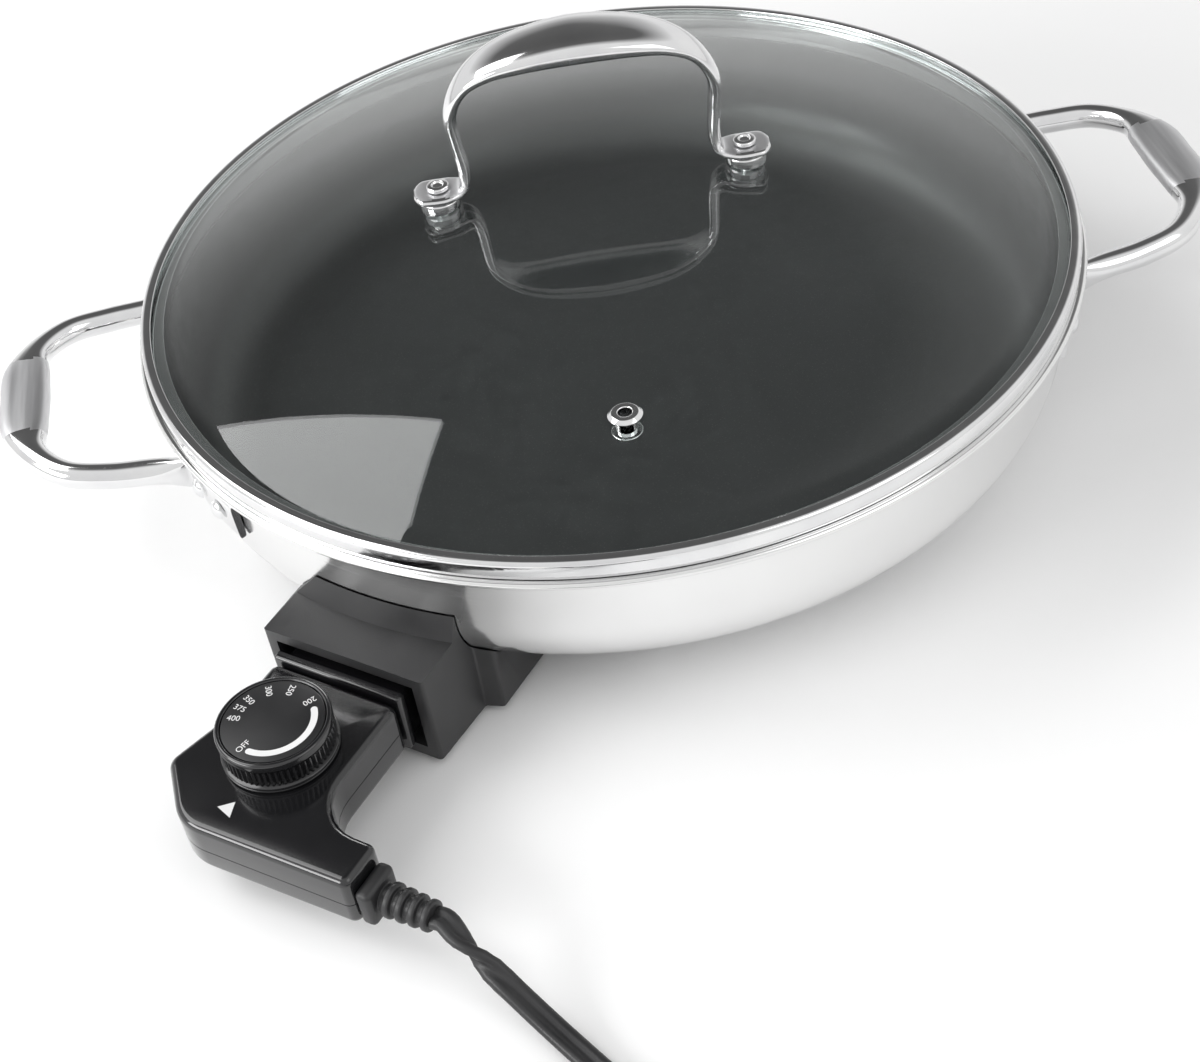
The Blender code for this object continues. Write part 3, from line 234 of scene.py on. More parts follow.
def rounded(corners, steps=4, closed=True):
    """An outline through corners (x, y, radius), each rounded by an arc. Open ends stay sharp."""
    outline = []
    count = len(corners)
    for i, (x, y, radius) in enumerate(corners):
        here = Vector((x, y))
        if radius == 0 or (not closed and i in (0, count - 1)):
            outline.append((x, y))
            continue
        back = (Vector(corners[i - 1][:2]) - here).normalized()
        ahead = (Vector(corners[(i + 1) % count][:2]) - here).normalized()
        half = back.angle(ahead) / 2
        middle = here + (back + ahead).normalized() * radius / sin(half)
        first = here + back * radius / sin(half) * cos(half) - middle
        last = here + ahead * radius / sin(half) * cos(half) - middle
        for k in range(steps + 1):
            point = first.slerp(last, k / steps).normalized() * radius
            outline.append(tuple(middle + point))
    return outline


def arc(centre, radius, start, end, steps):
    """Points round a centre from one angle to another, in degrees."""
    points = []
    for i in range(steps + 1):
        turn = radians(start + (end - start) * i / steps)
        points.append((centre[0] + radius * cos(turn), centre[1] + radius * sin(turn)))
    return points


def turned(name, profile, sides=ROUND, closed=False, reshape=None):
    """A profile of (radius, height) turned about Z. reshape moves a point by (radius, height, turn)."""
    shape = bmesh.new()
    columns = []
    poles = {}
    for k in range(sides):
        turn = tau * k / sides
        column = []
        for i, (radius, height) in enumerate(profile):
            if radius < 1e-6:
                if i not in poles:
                    poles[i] = shape.verts.new((0.0, 0.0, height))
                column.append(poles[i])
                continue
            if reshape:
                radius, height = reshape(radius, height, turn)
            column.append(shape.verts.new((radius * cos(turn), radius * sin(turn), height)))
        columns.append(column)
    last = len(profile) if closed else len(profile) - 1
    for k in range(sides):
        here, beside = columns[k], columns[(k + 1) % sides]
        for i in range(last):
            j = (i + 1) % len(profile)
            ring = [here[i], beside[i], beside[j], here[j]]
            corners = list(dict.fromkeys(ring))
            if len(corners) > 2:
                shape.faces.new(corners)
    bmesh.ops.recalc_face_normals(shape, faces=shape.faces)
    return to_mesh(name, shape)


def slab(name, outline, low, high, top_bevel=0.0, low_bevel=0.0, segments=5):
    """An outline with height whose top and bottom edges are rounded."""
    shape = bmesh.new()
    floor = [shape.verts.new((x, y, low)) for x, y in outline]
    roof = [shape.verts.new((x, y, high)) for x, y in outline]
    count = len(outline)
    shape.faces.new(floor)
    shape.faces.new(roof)
    for i in range(count):
        j = (i + 1) % count
        shape.faces.new((floor[i], floor[j], roof[j], roof[i]))
    bmesh.ops.recalc_face_normals(shape, faces=shape.faces)
    for height, bevel in ((high, top_bevel), (low, low_bevel)):
        edges = [e for e in shape.edges if all(abs(v.co.z - height) < 1e-7 for v in e.verts)]
        if bevel:
            bmesh.ops.bevel(shape, geom=edges, offset=bevel, segments=segments, profile=0.5, affect="EDGES")
    return to_mesh(name, shape)


def block(name, low, high, bevel, segments=3):
    """A box between two corners with rounded edges."""
    shape = bmesh.new()
    bmesh.ops.create_cube(shape, size=1.0)
    bmesh.ops.scale(shape, vec=Vector(high) - Vector(low), verts=shape.verts)
    bmesh.ops.translate(shape, vec=(Vector(high) + Vector(low)) / 2, verts=shape.verts)
    bmesh.ops.bevel(shape, geom=shape.edges[:], offset=bevel, segments=segments, profile=0.5, affect="EDGES")
    return to_mesh(name, shape)


def bar(name, radius, start, length, axis, sides=24):
    """A plain round bar, for cutting holes."""
    shape = bmesh.new()
    bmesh.ops.create_cone(shape, cap_ends=True, segments=sides, radius1=radius, radius2=radius, depth=length)
    turn = Matrix.Rotation(pi / 2, 4, "Y") if axis == "x" else Matrix.Identity(4)
    middle = Vector(start) + (Vector((length / 2, 0, 0)) if axis == "x" else Vector((0, 0, length / 2)))
    bmesh.ops.transform(shape, matrix=Matrix.Translation(middle) @ turn, verts=shape.verts)
    return to_mesh(name, shape)


def combined(mesh, tool, kind="DIFFERENCE"):
    """The mesh that a Boolean of two meshes gives."""
    target = linked("target", mesh)
    other = linked("tool", tool)
    step = target.modifiers.new("step", "BOOLEAN")
    step.operation = kind
    step.solver = "EXACT"
    step.object = other
    made = settled(target, mesh.name)
    bpy.data.objects.remove(other)
    return made


def softened(mesh, width, segments=3, angle=38.0):
    """The mesh with its sharp edges rounded."""
    obj = linked("soft", mesh)
    weld = obj.modifiers.new("weld", "WELD")
    weld.merge_threshold = 0.00002
    edges = obj.modifiers.new("edges", "BEVEL")
    edges.width = width
    edges.segments = segments
    edges.limit_method = "ANGLE"
    edges.angle_limit = radians(angle)
    edges.use_clamp_overlap = True
    return settled(obj, mesh.name)


def walled(mesh, wall, open_side):
    """The mesh as a cover of even thickness, open below (-1) or above (+1)."""
    shape = bmesh.new()
    shape.from_mesh(mesh)
    gone = max(shape.faces, key=lambda face: face.normal.z * open_side * face.calc_area())
    bmesh.ops.delete(shape, geom=[gone], context="FACES")
    obj = linked("cover", to_mesh(mesh.name, shape))
    thick = obj.modifiers.new("wall", "SOLIDIFY")
    thick.thickness = wall
    thick.offset = -1.0
    return settled(obj, mesh.name)


def eased(share):
    """A share of a way from 0 to 1 that starts and ends gently."""
    return 0.5 - 0.5 * cos(pi * min(1.0, max(0.0, share)))


def mirrored(half):
    """Corners (u, v, radius) mirrored across the line v = 0, in reverse order."""
    return [(u, -v, radius) for u, v, radius in reversed(half)]


def through(rows, steps):
    """A smooth curve through rows of numbers, read at even steps from the first to the last."""
    first = [2 * a - b for a, b in zip(rows[0], rows[1])]
    last = [2 * a - b for a, b in zip(rows[-1], rows[-2])]
    knots = [first] + [list(row) for row in rows] + [last]
    spans = len(rows) - 1
    read = []
    for i in range(steps + 1):
        span = min(int(i / steps * spans), spans - 1)
        t = i / steps * spans - span
        row = []
        for a, b, c, d in zip(*knots[span:span + 4]):
            bend = (2 * a - 5 * b + 4 * c - d) * t * t + (3 * b - a - 3 * c + d) * t ** 3
            row.append(0.5 * (2 * b + (c - a) * t + bend))
        read.append(row)
    return read


def heading(places, i):
    """The direction of a row of places at one of them."""
    return (places[min(i + 1, len(places) - 1)] - places[max(i - 1, 0)]).normalized()


def tube(name, shape, rings):
    """Rings of vertices joined one to the next, and closed at both ends."""
    sides = len(rings[0])
    for first, second in zip(rings, rings[1:]):
        for k in range(sides):
            j = (k + 1) % sides
            shape.faces.new((first[k], first[j], second[j], second[k]))
    shape.faces.new(rings[0])
    shape.faces.new(rings[-1])
    bmesh.ops.recalc_face_normals(shape, faces=shape.faces)
    return to_mesh(name, shape)


def loft(name, rows, sides=28):
    """A bar along rows of (x, y, z, width, height, squareness) with a rounded oblong section."""
    places = [Vector(row[:3]) for row in rows]
    shape = bmesh.new()
    rings = []
    across = None
    for i, (*_, width, height, square) in enumerate(rows):
        along = heading(places, i)
        if across is None:
            start = Vector((0.0, 0.0, 1.0)) if abs(along.z) < 0.75 else Vector((0.0, 1.0, 0.0))
            across = along.cross(start)
        across = (across - along * across.dot(along)).normalized()
        over = across.cross(along)
        ring = []
        for k in range(sides):
            c = cos(tau * k / sides)
            s = sin(tau * k / sides)
            c = abs(c) ** (2 / square) * (1 if c >= 0 else -1) * width / 2
            s = abs(s) ** (2 / square) * (1 if s >= 0 else -1) * height / 2
            ring.append(shape.verts.new(places[i] + across * c + over * s))
        rings.append(ring)
    return tube(name, shape, rings)


def dome_height(radius):
    """How high the glass's top is at a distance from the lid's middle."""
    return DOME_TOP - DOME_CURVE + sqrt(DOME_CURVE ** 2 - radius ** 2)


# ---- materials ----
def new_material(name, colour, roughness, metallic=0.0):
    """A material with plain values, its tree and its shader."""
    mat = bpy.data.materials.new(name)
    mat.use_nodes = True
    shader = mat.node_tree.nodes["Principled BSDF"]
    shader.inputs["Base Color"].default_value = (*colour, 1.0)
    shader.inputs["Roughness"].default_value = roughness
    shader.inputs["Metallic"].default_value = metallic
    mat.diffuse_color = (*colour, 1.0)
    return mat, mat.node_tree, shader


def place_of(tree, scale):
    """Object coordinates, stretched."""
    coords = tree.nodes.new("ShaderNodeTexCoord")
    stretch = tree.nodes.new("ShaderNodeMapping")
    stretch.inputs["Scale"].default_value = scale
    tree.links.new(coords.outputs["Object"], stretch.inputs["Vector"])
    return stretch.outputs["Vector"]


def noise(tree, scale, detail=4.0, stretch=(1.0, 1.0, 1.0)):
    """An even noise over the object, stretched for brush lines."""
    node = tree.nodes.new("ShaderNodeTexNoise")
    node.inputs["Scale"].default_value = scale
    node.inputs["Detail"].default_value = detail
    tree.links.new(place_of(tree, stretch), node.inputs["Vector"])
    return node.outputs["Fac"]


def spread(tree, value, low, high, start=0.3, end=0.7):
    """A value spread over low to high."""
    node = tree.nodes.new("ShaderNodeMapRange")
    node.inputs["From Min"].default_value = start
    node.inputs["From Max"].default_value = end
    node.inputs["To Min"].default_value = low
    node.inputs["To Max"].default_value = high
    tree.links.new(value, node.inputs["Value"])
    return node.outputs["Result"]


def blend_colours(tree, factor, first, second):
    """A colour between two, by a factor."""
    node = tree.nodes.new("ShaderNodeMix")
    node.data_type = "RGBA"
    tree.links.new(factor, node.inputs["Factor"])
    node.inputs["A"].default_value = (*first, 1.0)
    node.inputs["B"].default_value = (*second, 1.0)
    return node.outputs["Result"]


def bump(tree, shader, height, distance, strength=1.0):
    """Relief from a height, in metres at full strength."""
    node = tree.nodes.new("ShaderNodeBump")
    node.inputs["Strength"].default_value = strength
    node.inputs["Distance"].default_value = distance
    tree.links.new(height, node.inputs["Height"])
    tree.links.new(node.outputs["Normal"], shader.inputs["Normal"])


def grained(name, dark, light, roughness, grain, depth, metallic=0.0, coat=0.0):
    """A surface with two close colours, uneven gloss and a fine grain."""
    mat, tree, shader = new_material(name, light, roughness, metallic)
    cloud = noise(tree, 45.0, 3.0)
    tint = blend_colours(tree, spread(tree, cloud, 0.0, 1.0), dark, light)
    tree.links.new(tint, shader.inputs["Base Color"])
    tree.links.new(spread(tree, cloud, roughness * 0.85, roughness * 1.15), shader.inputs["Roughness"])
    bump(tree, shader, noise(tree, grain, 2.0), depth)
    shader.inputs["Coat Weight"].default_value = coat
    shader.inputs["Coat Roughness"].default_value = 0.08
    return mat


def polished_steel():
    """Bright steel with faint smears and fine scratches."""
    mat, tree, shader = new_material("polished_steel", (0.80, 0.80, 0.805), 0.08, 1.0)
    smears = noise(tree, 60.0, 5.0)
    scratches = noise(tree, 900.0, 2.0, (1.0, 0.12, 1.0))
    tree.links.new(spread(tree, smears, 0.05, 0.13), shader.inputs["Roughness"])
    tint = blend_colours(tree, spread(tree, smears, 0.0, 1.0), (0.74, 0.74, 0.75), (0.83, 0.83, 0.83))
    tree.links.new(tint, shader.inputs["Base Color"])
    bump(tree, shader, scratches, 0.000003, 0.5)
    return mat


def satin_steel():
    """The pan wall: fine level brush lines over a soft sheen."""
    mat, tree, shader = new_material("satin_steel", (0.82, 0.82, 0.82), 0.14, 1.0)
    lines = noise(tree, 6.0, 6.0, (1.0, 1.0, 420.0))
    smears = noise(tree, 14.0, 3.0)
    tree.links.new(spread(tree, lines, 0.10, 0.18), shader.inputs["Roughness"])
    tint = blend_colours(tree, spread(tree, smears, 0.0, 1.0), (0.80, 0.80, 0.80), (0.86, 0.86, 0.855))
    tree.links.new(tint, shader.inputs["Base Color"])
    bump(tree, shader, lines, 0.000003, 0.35)
    return mat


def grip_steel():
    """The brushed grips and tabs of the handles."""
    mat, tree, shader = new_material("grip_steel", (0.62, 0.62, 0.63), 0.30, 1.0)
    lines = noise(tree, 260.0, 4.0, (1.0, 0.04, 1.0))
    tree.links.new(spread(tree, lines, 0.36, 0.50), shader.inputs["Roughness"])
    tint = blend_colours(tree, spread(tree, lines, 0.0, 1.0), (0.60, 0.60, 0.61), (0.76, 0.76, 0.77))
    tree.links.new(tint, shader.inputs["Base Color"])
    bump(tree, shader, lines, 0.000008, 0.5)
    return mat


def clear_glass():
    """Tempered glass that lets the lights through to what is under it."""
    mat, tree, shader = new_material("tempered_glass", (0.94, 0.975, 0.965), 0.0)
    shader.inputs["Transmission Weight"].default_value = 1.0
    shader.inputs["IOR"].default_value = 1.5
    paths = tree.nodes.new("ShaderNodeLightPath")
    clear = tree.nodes.new("ShaderNodeBsdfTransparent")
    clear.inputs["Color"].default_value = (0.93, 0.96, 0.95, 1.0)
    choice = tree.nodes.new("ShaderNodeMixShader")
    tree.links.new(paths.outputs["Is Shadow Ray"], choice.inputs["Fac"])
    tree.links.new(shader.outputs["BSDF"], choice.inputs[1])
    tree.links.new(clear.outputs["BSDF"], choice.inputs[2])
    tree.links.new(choice.outputs["Shader"], tree.nodes["Material Output"].inputs["Surface"])
    return mat


def nonstick():
    """The pan's dark coating with its sparse pale specks."""
    mat, tree, shader = new_material("nonstick", (0.03, 0.03, 0.031), 0.38)
    specks = tree.nodes.new("ShaderNodeTexVoronoi")
    specks.inputs["Scale"].default_value = 900.0
    tree.links.new(place_of(tree, (1.0, 1.0, 1.0)), specks.inputs["Vector"])
    few = spread(tree, specks.outputs["Distance"], 1.0, 0.0, 0.05, 0.22)
    tint = blend_colours(tree, few, (0.022, 0.022, 0.023), (0.075, 0.073, 0.070))
    tree.links.new(tint, shader.inputs["Base Color"])
    rings = noise(tree, 120.0, 3.0)
    tree.links.new(spread(tree, rings, 0.30, 0.46), shader.inputs["Roughness"])
    bump(tree, shader, noise(tree, 1400.0, 2.0), 0.00002, 0.6)
    return mat


STEEL = polished_steel()
SATIN = satin_steel()
GRIP = grip_steel()
CLEAR = clear_glass()
COATING = nonstick()
BRUSHED = grained("brushed_steel", (0.56, 0.56, 0.57), (0.68, 0.68, 0.69), 0.30, 1500.0, 0.00001,
                  metallic=1.0)
MOULDED = grained("moulded_black", (0.020, 0.020, 0.021), (0.030, 0.030, 0.031), 0.38, 1800.0, 0.00003)
GLOSSY = grained("gloss_black", (0.006, 0.006, 0.007), (0.010, 0.010, 0.011), 0.15, 500.0, 0.000004, coat=0.6)
INSERT = grained("dial_insert", (0.012, 0.012, 0.013), (0.020, 0.020, 0.021), 0.34, 1600.0, 0.00001)
RUBBER = grained("black_rubber", (0.014, 0.014, 0.015), (0.024, 0.024, 0.025), 0.42, 1600.0, 0.00004)
SHEATH = grained("element_sheath", (0.14, 0.13, 0.12), (0.24, 0.22, 0.21), 0.45, 900.0, 0.00003, metallic=0.8)
CAST = grained("cast_aluminium", (0.48, 0.48, 0.49), (0.60, 0.60, 0.61), 0.45, 700.0, 0.00005, metallic=1.0)
CERAMIC = grained("ceramic", (0.70, 0.67, 0.60), (0.80, 0.77, 0.70), 0.60, 800.0, 0.00003)
BRASS = grained("brass", (0.62, 0.46, 0.22), (0.76, 0.60, 0.32), 0.28, 900.0, 0.00001, metallic=1.0)
PRINT = grained("pale_print", (0.74, 0.74, 0.74), (0.82, 0.82, 0.82), 0.45, 1500.0, 0.00001)


# ---- the pan ----
def skin(offset, steps=10):
    """The pan's outer skin moved by offset, from the edge of its bottom up to the wall."""
    return arc((WALL_RADIUS - CORNER, PAN_BASE + CORNER), CORNER + offset, -90.0, 0.0, steps)


def make_pan():
    """The steel pan with its rolled rim, and the coating inside it."""
    outside = skin(0.0)
    outside.reverse()
    rim_low = RIM_TOP - RIM_HEIGHT
    nose = RIM_RADIUS - RIM_HEIGHT / 2
    bead = arc((nose, RIM_TOP - RIM_HEIGHT / 2), RIM_HEIGHT / 2, 90.0, -90.0, 8)
    inner = [(WALL_INNER, RIM_TOP - 0.004, 0), (WALL_INNER, RIM_TOP, 0.0009), (nose, RIM_TOP, 0)]
    inner = rounded(inner, 4, False)
    wall = [(nose - 0.001, rim_low, 0), (WALL_RADIUS, rim_low, 0.0006), (WALL_RADIUS, rim_low - 0.01, 0)]
    wall = rounded(wall, 3, False)
    profile = [(0.0, PAN_BASE + WALL)] + skin(-WALL) + inner[:-1] + bead + wall + outside + [(0.0, PAN_BASE)]
    piece("pan_body", turned("pan_body", profile), "pan", SATIN, "pan_shell", slot="pan_steel", at=AT_PAN)
    outer = skin(-WALL - GAP)
    outer.reverse()
    top = [(WALL_INNER - GAP - LINING, LINING_TOP), (WALL_INNER - GAP, LINING_TOP)]
    floor = PAN_BASE + WALL + GAP
    profile = [(0.0, floor + LINING)] + skin(-WALL - GAP - LINING) + top + outer + [(0.0, floor)]
    coating = turned("pan_coating", profile)
    piece("pan_coating", coating, "pan", COATING, "pan_lining", slot="nonstick", at=AT_PAN)


def make_side_handles():
    """Both loops, from the tab on the wall to the flat grip, and the rivets on their tabs."""
    reach = WALL_RADIUS + GAP + TAB_THICK / 2
    foot_x = reach * cos(radians(TAB_INNER))
    foot_y = reach * sin(radians(TAB_INNER))
    half = []
    for i in range(4):
        turn = radians(TAB_OUTER - (TAB_OUTER - TAB_INNER) * i / 3)
        half.append((reach * cos(turn), reach * sin(turn), HANDLE_Z, TAB_THICK, 0.0130, 5.0))
    half += [
        (foot_x + 0.0050, foot_y - 0.0020, HANDLE_Z + 0.0006, 0.0058, 0.0108, 2.6),
        (foot_x + 0.0130, foot_y - 0.0036, HANDLE_Z + 0.0016, ROD, ROD, 2.0),
        (LOOP_REACH - 0.0270, foot_y - 0.0052, LOOP_Z - 0.0042, ROD, ROD, 2.0),
        (LOOP_REACH - 0.0130, foot_y - 0.0095, LOOP_Z - 0.0028, ROD, ROD, 2.0),
        (LOOP_REACH - 0.0030, foot_y - 0.0210, LOOP_Z - 0.0012, 0.0100, 0.0082, 2.2),
        (LOOP_REACH, foot_y - 0.0340, LOOP_Z - 0.0002, 0.0154, 0.0070, 3.2),
    ]
    middle = [(LOOP_REACH, 0.0, LOOP_Z, 0.0160, 0.0070, 3.6)]
    route = half + middle + [(row[0], -row[1]) + row[2:] for row in reversed(half)]
    rows = through(route, 9 * (len(route) - 1))
    dome = arc((0.0, RIVET_HEIGHT - RIVET_DOME), RIVET_DOME, 78.0, 44.0, 5)
    head = [(0.0, RIVET_HEIGHT)] + dome + [(RIVET_RADIUS, 0.0), (0.0, 0.0)]
    on_tab = Matrix.Translation((WALL_RADIUS + 3 * GAP + TAB_THICK, 0, HANDLE_Z))
    seat = on_tab @ Matrix.Rotation(pi / 2, 4, "Y")
    for word, side in (("left", -1), ("right", 1)):
        mesh = loft(f"side_loop_{word}", [[side * row[0]] + row[1:] for row in rows])
        node = f"side_handle_{word}"
        loop = piece(mesh.name, mesh, "pan", STEEL, node, slot="polished_steel", at=AT_PAN, angle=50)
        brushed_where(loop, lambda spot: abs(spot.y - PAN_Y) < foot_y - GRIP_FROM_FOOT)
        number = 0
        for front in (-1, 1):
            for angle in RIVET_ANGLES:
                number += 1
                turn = radians(front * angle) if side > 0 else pi - radians(front * angle)
                rivet = turned(f"rivet_head_{word}_{number}", head, 24)
                at = AT_PAN @ Matrix.Rotation(turn, 4, "Z") @ seat
                piece(rivet.name, rivet, "pan", STEEL, f"rivet_{word}_{number}", slot="polished_steel", at=at)


def brushed_where(obj, chosen):
    """The faces whose centres are chosen get the brushed finish."""
    obj.data.materials.append(GRIP)
    for face in obj.data.polygons:
        if chosen(face.center):
            face.material_index = 1


# ---- the lid ----
def make_lid():
    """The band with its skirt inside the pan, and the domed glass with its holes."""
    skirt = WALL_INNER - SKIRT_PLAY
    low = RIM_TOP + GAP
    glass_low = GLASS_EDGE - GLASS - GAP
    corners = [
        (LIP_RADIUS, RING_TOP, 0.0004), (RING_RADIUS, RING_TOP, 0.0016), (RING_RADIUS, low, 0.0007),
        (skirt, low, 0), (skirt, low - SKIRT_DEPTH, 0.0004), (skirt - RING_SKIN, low - SKIRT_DEPTH, 0.0004),
        (skirt - RING_SKIN, glass_low, 0.0003), (GLASS_RADIUS + GAP, glass_low, 0),
        (GLASS_RADIUS + GAP, RING_TOP - RING_SKIN, 0), (LIP_RADIUS, RING_TOP - RING_SKIN, 0.0004),
    ]
    ring = turned("lid_band", rounded(corners, 5), closed=True)
    piece("lid_band", ring, "lid", STEEL, "lid_ring", slot="polished_steel", at=AT_LID)
    steps = 20
    top = [(LIP_RADIUS * i / steps, dome_height(LIP_RADIUS * i / steps)) for i in range(1, steps + 1)]
    under = [(radius - 0.0010, height - GLASS) for radius, height in reversed(top)]
    edge = [(GLASS_RADIUS, GLASS_EDGE), (GLASS_RADIUS, GLASS_EDGE - GLASS)]
    profile = [(0.0, DOME_TOP)] + top + edge + under + [(0.0, DOME_TOP - GLASS)]
    glass = turned("lid_dome", profile)
    turn = radians(VENT_ANGLE)
    vent = (VENT_RADIUS * cos(turn), VENT_RADIUS * sin(turn))
    for x, y, radius in ((*vent, VENT_HOLE), (LID_FOOT, 0.0, SCREW_HOLE), (-LID_FOOT, 0.0, SCREW_HOLE)):
        glass = combined(glass, bar("hole", radius, (x, y, 0.06), 0.05, "z"))
    piece("lid_dome", glass, "lid", CLEAR, "lid_glass", slot="tempered_glass", at=AT_LID)
    make_vent(vent)
    make_lid_handle()


def make_vent(place):
    """The steam vent: a domed collar round a dark hole, and a collar under the glass."""
    slope = VENT_RADIUS / DOME_CURVE
    top = dome_height(VENT_RADIUS) + slope * VENT_COLLAR + GAP
    low = dome_height(VENT_RADIUS) - GLASS - slope * VENT_COLLAR - 0.0008
    hole, neck = 0.0021, VENT_HOLE - GAP
    corners = [
        (hole, top + 0.0010, 0.0004), (0.0040, top + 0.0010, 0.0007), (VENT_COLLAR, top, 0), (neck, top, 0),
        (neck, low, 0), (0.0050, low, 0.0003), (0.0044, low - 0.0008, 0.0003), (hole, low - 0.0008, 0.0003),
    ]
    mesh = turned("vent_eyelet", rounded(corners, 4), 64, closed=True)
    at = AT_LID @ Matrix.Translation((*place, 0.0))
    piece("vent_eyelet", mesh, "lid", STEEL, "vent_grommet", slot="polished_steel", at=at)


def make_lid_handle():
    """The formed arch, and on each of its feet the spacer and the screw."""
    low = dome_height(LID_FOOT)
    tab_z = low + TAB_RISE + TAB_THICK / 2
    top = tab_z + ARCH
    leg = LID_LEG
    outer = leg + 0.0175
    half = [
        (-outer, 0.0, tab_z, 0.0060, TAB_THICK * 0.8, 2.4),
        (-outer + 0.0012, 0.0, tab_z, 0.0106, TAB_THICK, 3.0),
        (-outer + 0.0035, 0.0, tab_z, 0.0138, TAB_THICK, 4.0),
        (-LID_FOOT + 0.0030, 0.0, tab_z, 0.0140, TAB_THICK, 4.0),
        (-leg - 0.0014, 0.0, tab_z + 0.0012, 0.0095, 0.0032, 2.6),
        (-leg, 0.0, tab_z + 0.0070, 0.0075, 0.0042, 2.2),
        (-leg - 0.0010, 0.0, tab_z + 0.0180, 0.0078, 0.0042, 2.2),
        (-leg - 0.0012, 0.0, tab_z + 0.0275, 0.0095, 0.0044, 2.2),
        (-leg + 0.0036, 0.0, top - 0.0102, 0.0130, 0.0048, 2.2),
        (-leg + 0.0120, 0.0, top - 0.0044, 0.0185, 0.0062, 2.3),
        (-leg + 0.0240, 0.0, top - 0.0013, 0.0228, 0.0082, 2.4),
    ]
    middle = [(0.0, 0.0, top, 0.0250, 0.0096, 2.4)]
    route = half + middle + [(-row[0],) + row[1:] for row in reversed(half)]
    mesh = loft("lid_arch", through(route, 9 * (len(route) - 1)), 32)
    for side in (-1, 1):
        mesh = combined(mesh, bar("hole", SCREW_HOLE, (side * LID_FOOT, 0.0, tab_z - 0.01), 0.02, "z"))
    arch = piece("lid_arch", mesh, "lid", STEEL, "lid_handle", slot="polished_steel", at=AT_LID, angle=50)
    brushed_where(arch, lambda spot: tab_z + TAB_THICK * 0.42 < spot.z < tab_z + 0.0020)
    for side, word in ((-1, "left"), (1, "right")):
        at = AT_LID @ Matrix.Translation((side * LID_FOOT, 0.0, 0.0))
        high = tab_z - TAB_THICK / 2 - GAP

        def seat(radius, height, turn):
            """The spacer's foot follows the glass's slope."""
            if height > low + 0.0006:
                return radius, height
            spot = hypot(side * LID_FOOT + radius * cos(turn), radius * sin(turn))
            return radius, dome_height(spot) + GAP + height - low

        corners = [
            (SCREW_HOLE, high, 0), (SPACER_RADIUS, high, 0.0007), (SPACER_RADIUS, low, 0.0004),
            (SCREW_HOLE, low, 0),
        ]
        mesh = turned(f"lid_foot_{word}", rounded(corners, 4), 64, closed=True, reshape=seat)
        piece(mesh.name, mesh, "lid", STEEL, f"lid_spacer_{word}", slot="polished_steel", at=at)
        head = tab_z + TAB_THICK / 2 + GAP
        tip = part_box(f"lid_screw_{word}")[0].z
        corners = [
            (0.0, head + 0.0009, 0), (0.0016, head + 0.0009, 0.0003), (0.0021, head + 0.0016, 0.0004),
            (0.0037, head + 0.0013, 0.0006), (0.0037, head, 0.0002), (0.0020, head, 0), (0.0020, tip, 0.0004),
            (0.0, tip, 0),
        ]
        mesh = turned(f"lid_bolt_{word}", rounded(corners, 4, False), 48)
        piece(mesh.name, mesh, "lid", STEEL, f"lid_screw_{word}", slot="polished_steel", at=at)


# ---- brackets ----
def make_bracket(name, corners, edge, at, node, front):
    """A bracket crossed with a ring that follows the pan's skin, then cut and softened."""
    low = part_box(node)[0].z
    inner = BRACKET_INNER
    wing_top = PAN_BASE - BRACKET_OFF
    profile = [(WALL_RADIUS + BRACKET_OFF, 0.0462), (WALL_RADIUS + 0.0035, 0.0384), (edge, 0.0362)]
    profile += [(edge, low), (inner, low), (inner, wing_top)] + skin(BRACKET_OFF)
    body = slab(name, rounded(corners, 3), low - 0.002, 0.0482)
    body = combined(body, turned("ring", profile, ROUND, closed=True), "INTERSECT")
    wing = [(WING_OUTER, wing_top), (WING_OUTER, low), (inner, low), (inner, wing_top)]
    reach = block("reach", (0.05, -0.066, 0.0), (0.14, 0.066, 0.03), 0.0001, 1)
    wings = combined(turned("wings", wing, ROUND, closed=True), reach, "INTERSECT")
    body = combined(body, wings, "UNION")
    if front:
        half = SOCKET_HALF - SOCKET_WALL
        room = block("room", (0.13, -half, low + SOCKET_WALL), (0.18, half, 0.0334), 0.0004, 2)
        body = combined(body, room)
        body = combined(body, block("channel", (0.094, -0.0168, 0.0086), (0.144, 0.0168, 0.030), 0.0004, 2))
        slope = block("slope", (0.144, -0.03, 0.0), (0.168, 0.03, 0.02), 0.0001, 1)
        slope.transform(Matrix.Translation((0.0, -0.0240, 0.0415)) @ Matrix.Rotation(radians(45.0), 4, "X"))
        body = combined(body, slope)
    for side in (-1, 1):
        body = combined(body, bar("bore", BORE_RADIUS, (inner + 0.008, side * BORE_V, 0.0), low + 0.003, "z"))
    piece(name, softened(body, 0.0007), "pan", MOULDED, node, slot="matte_phenolic", at=at, angle=40)


def make_brackets():
    """The front socket's housing and the plain support opposite."""
    half, step, front, back = SOCKET_HALF, 0.0352, 0.1680, 0.1000
    right = [
        (front, half, 0.0012), (0.1440, half + 0.0008, 0.0010), (0.1420, step, 0.0010), (back, step, 0.0010),
    ]
    edge = hypot(front, half) + 0.01
    make_bracket("socket_housing", mirrored(right) + right, edge, AT_PROBE, "front_bracket", True)
    edge = WALL_RADIUS + 0.0090
    right = [(edge + 0.002, 0.0240, 0.0030), (back, 0.0280, 0.0010)]
    make_bracket("rear_support", mirrored(right) + right, edge, AT_REAR, "rear_bracket", False)


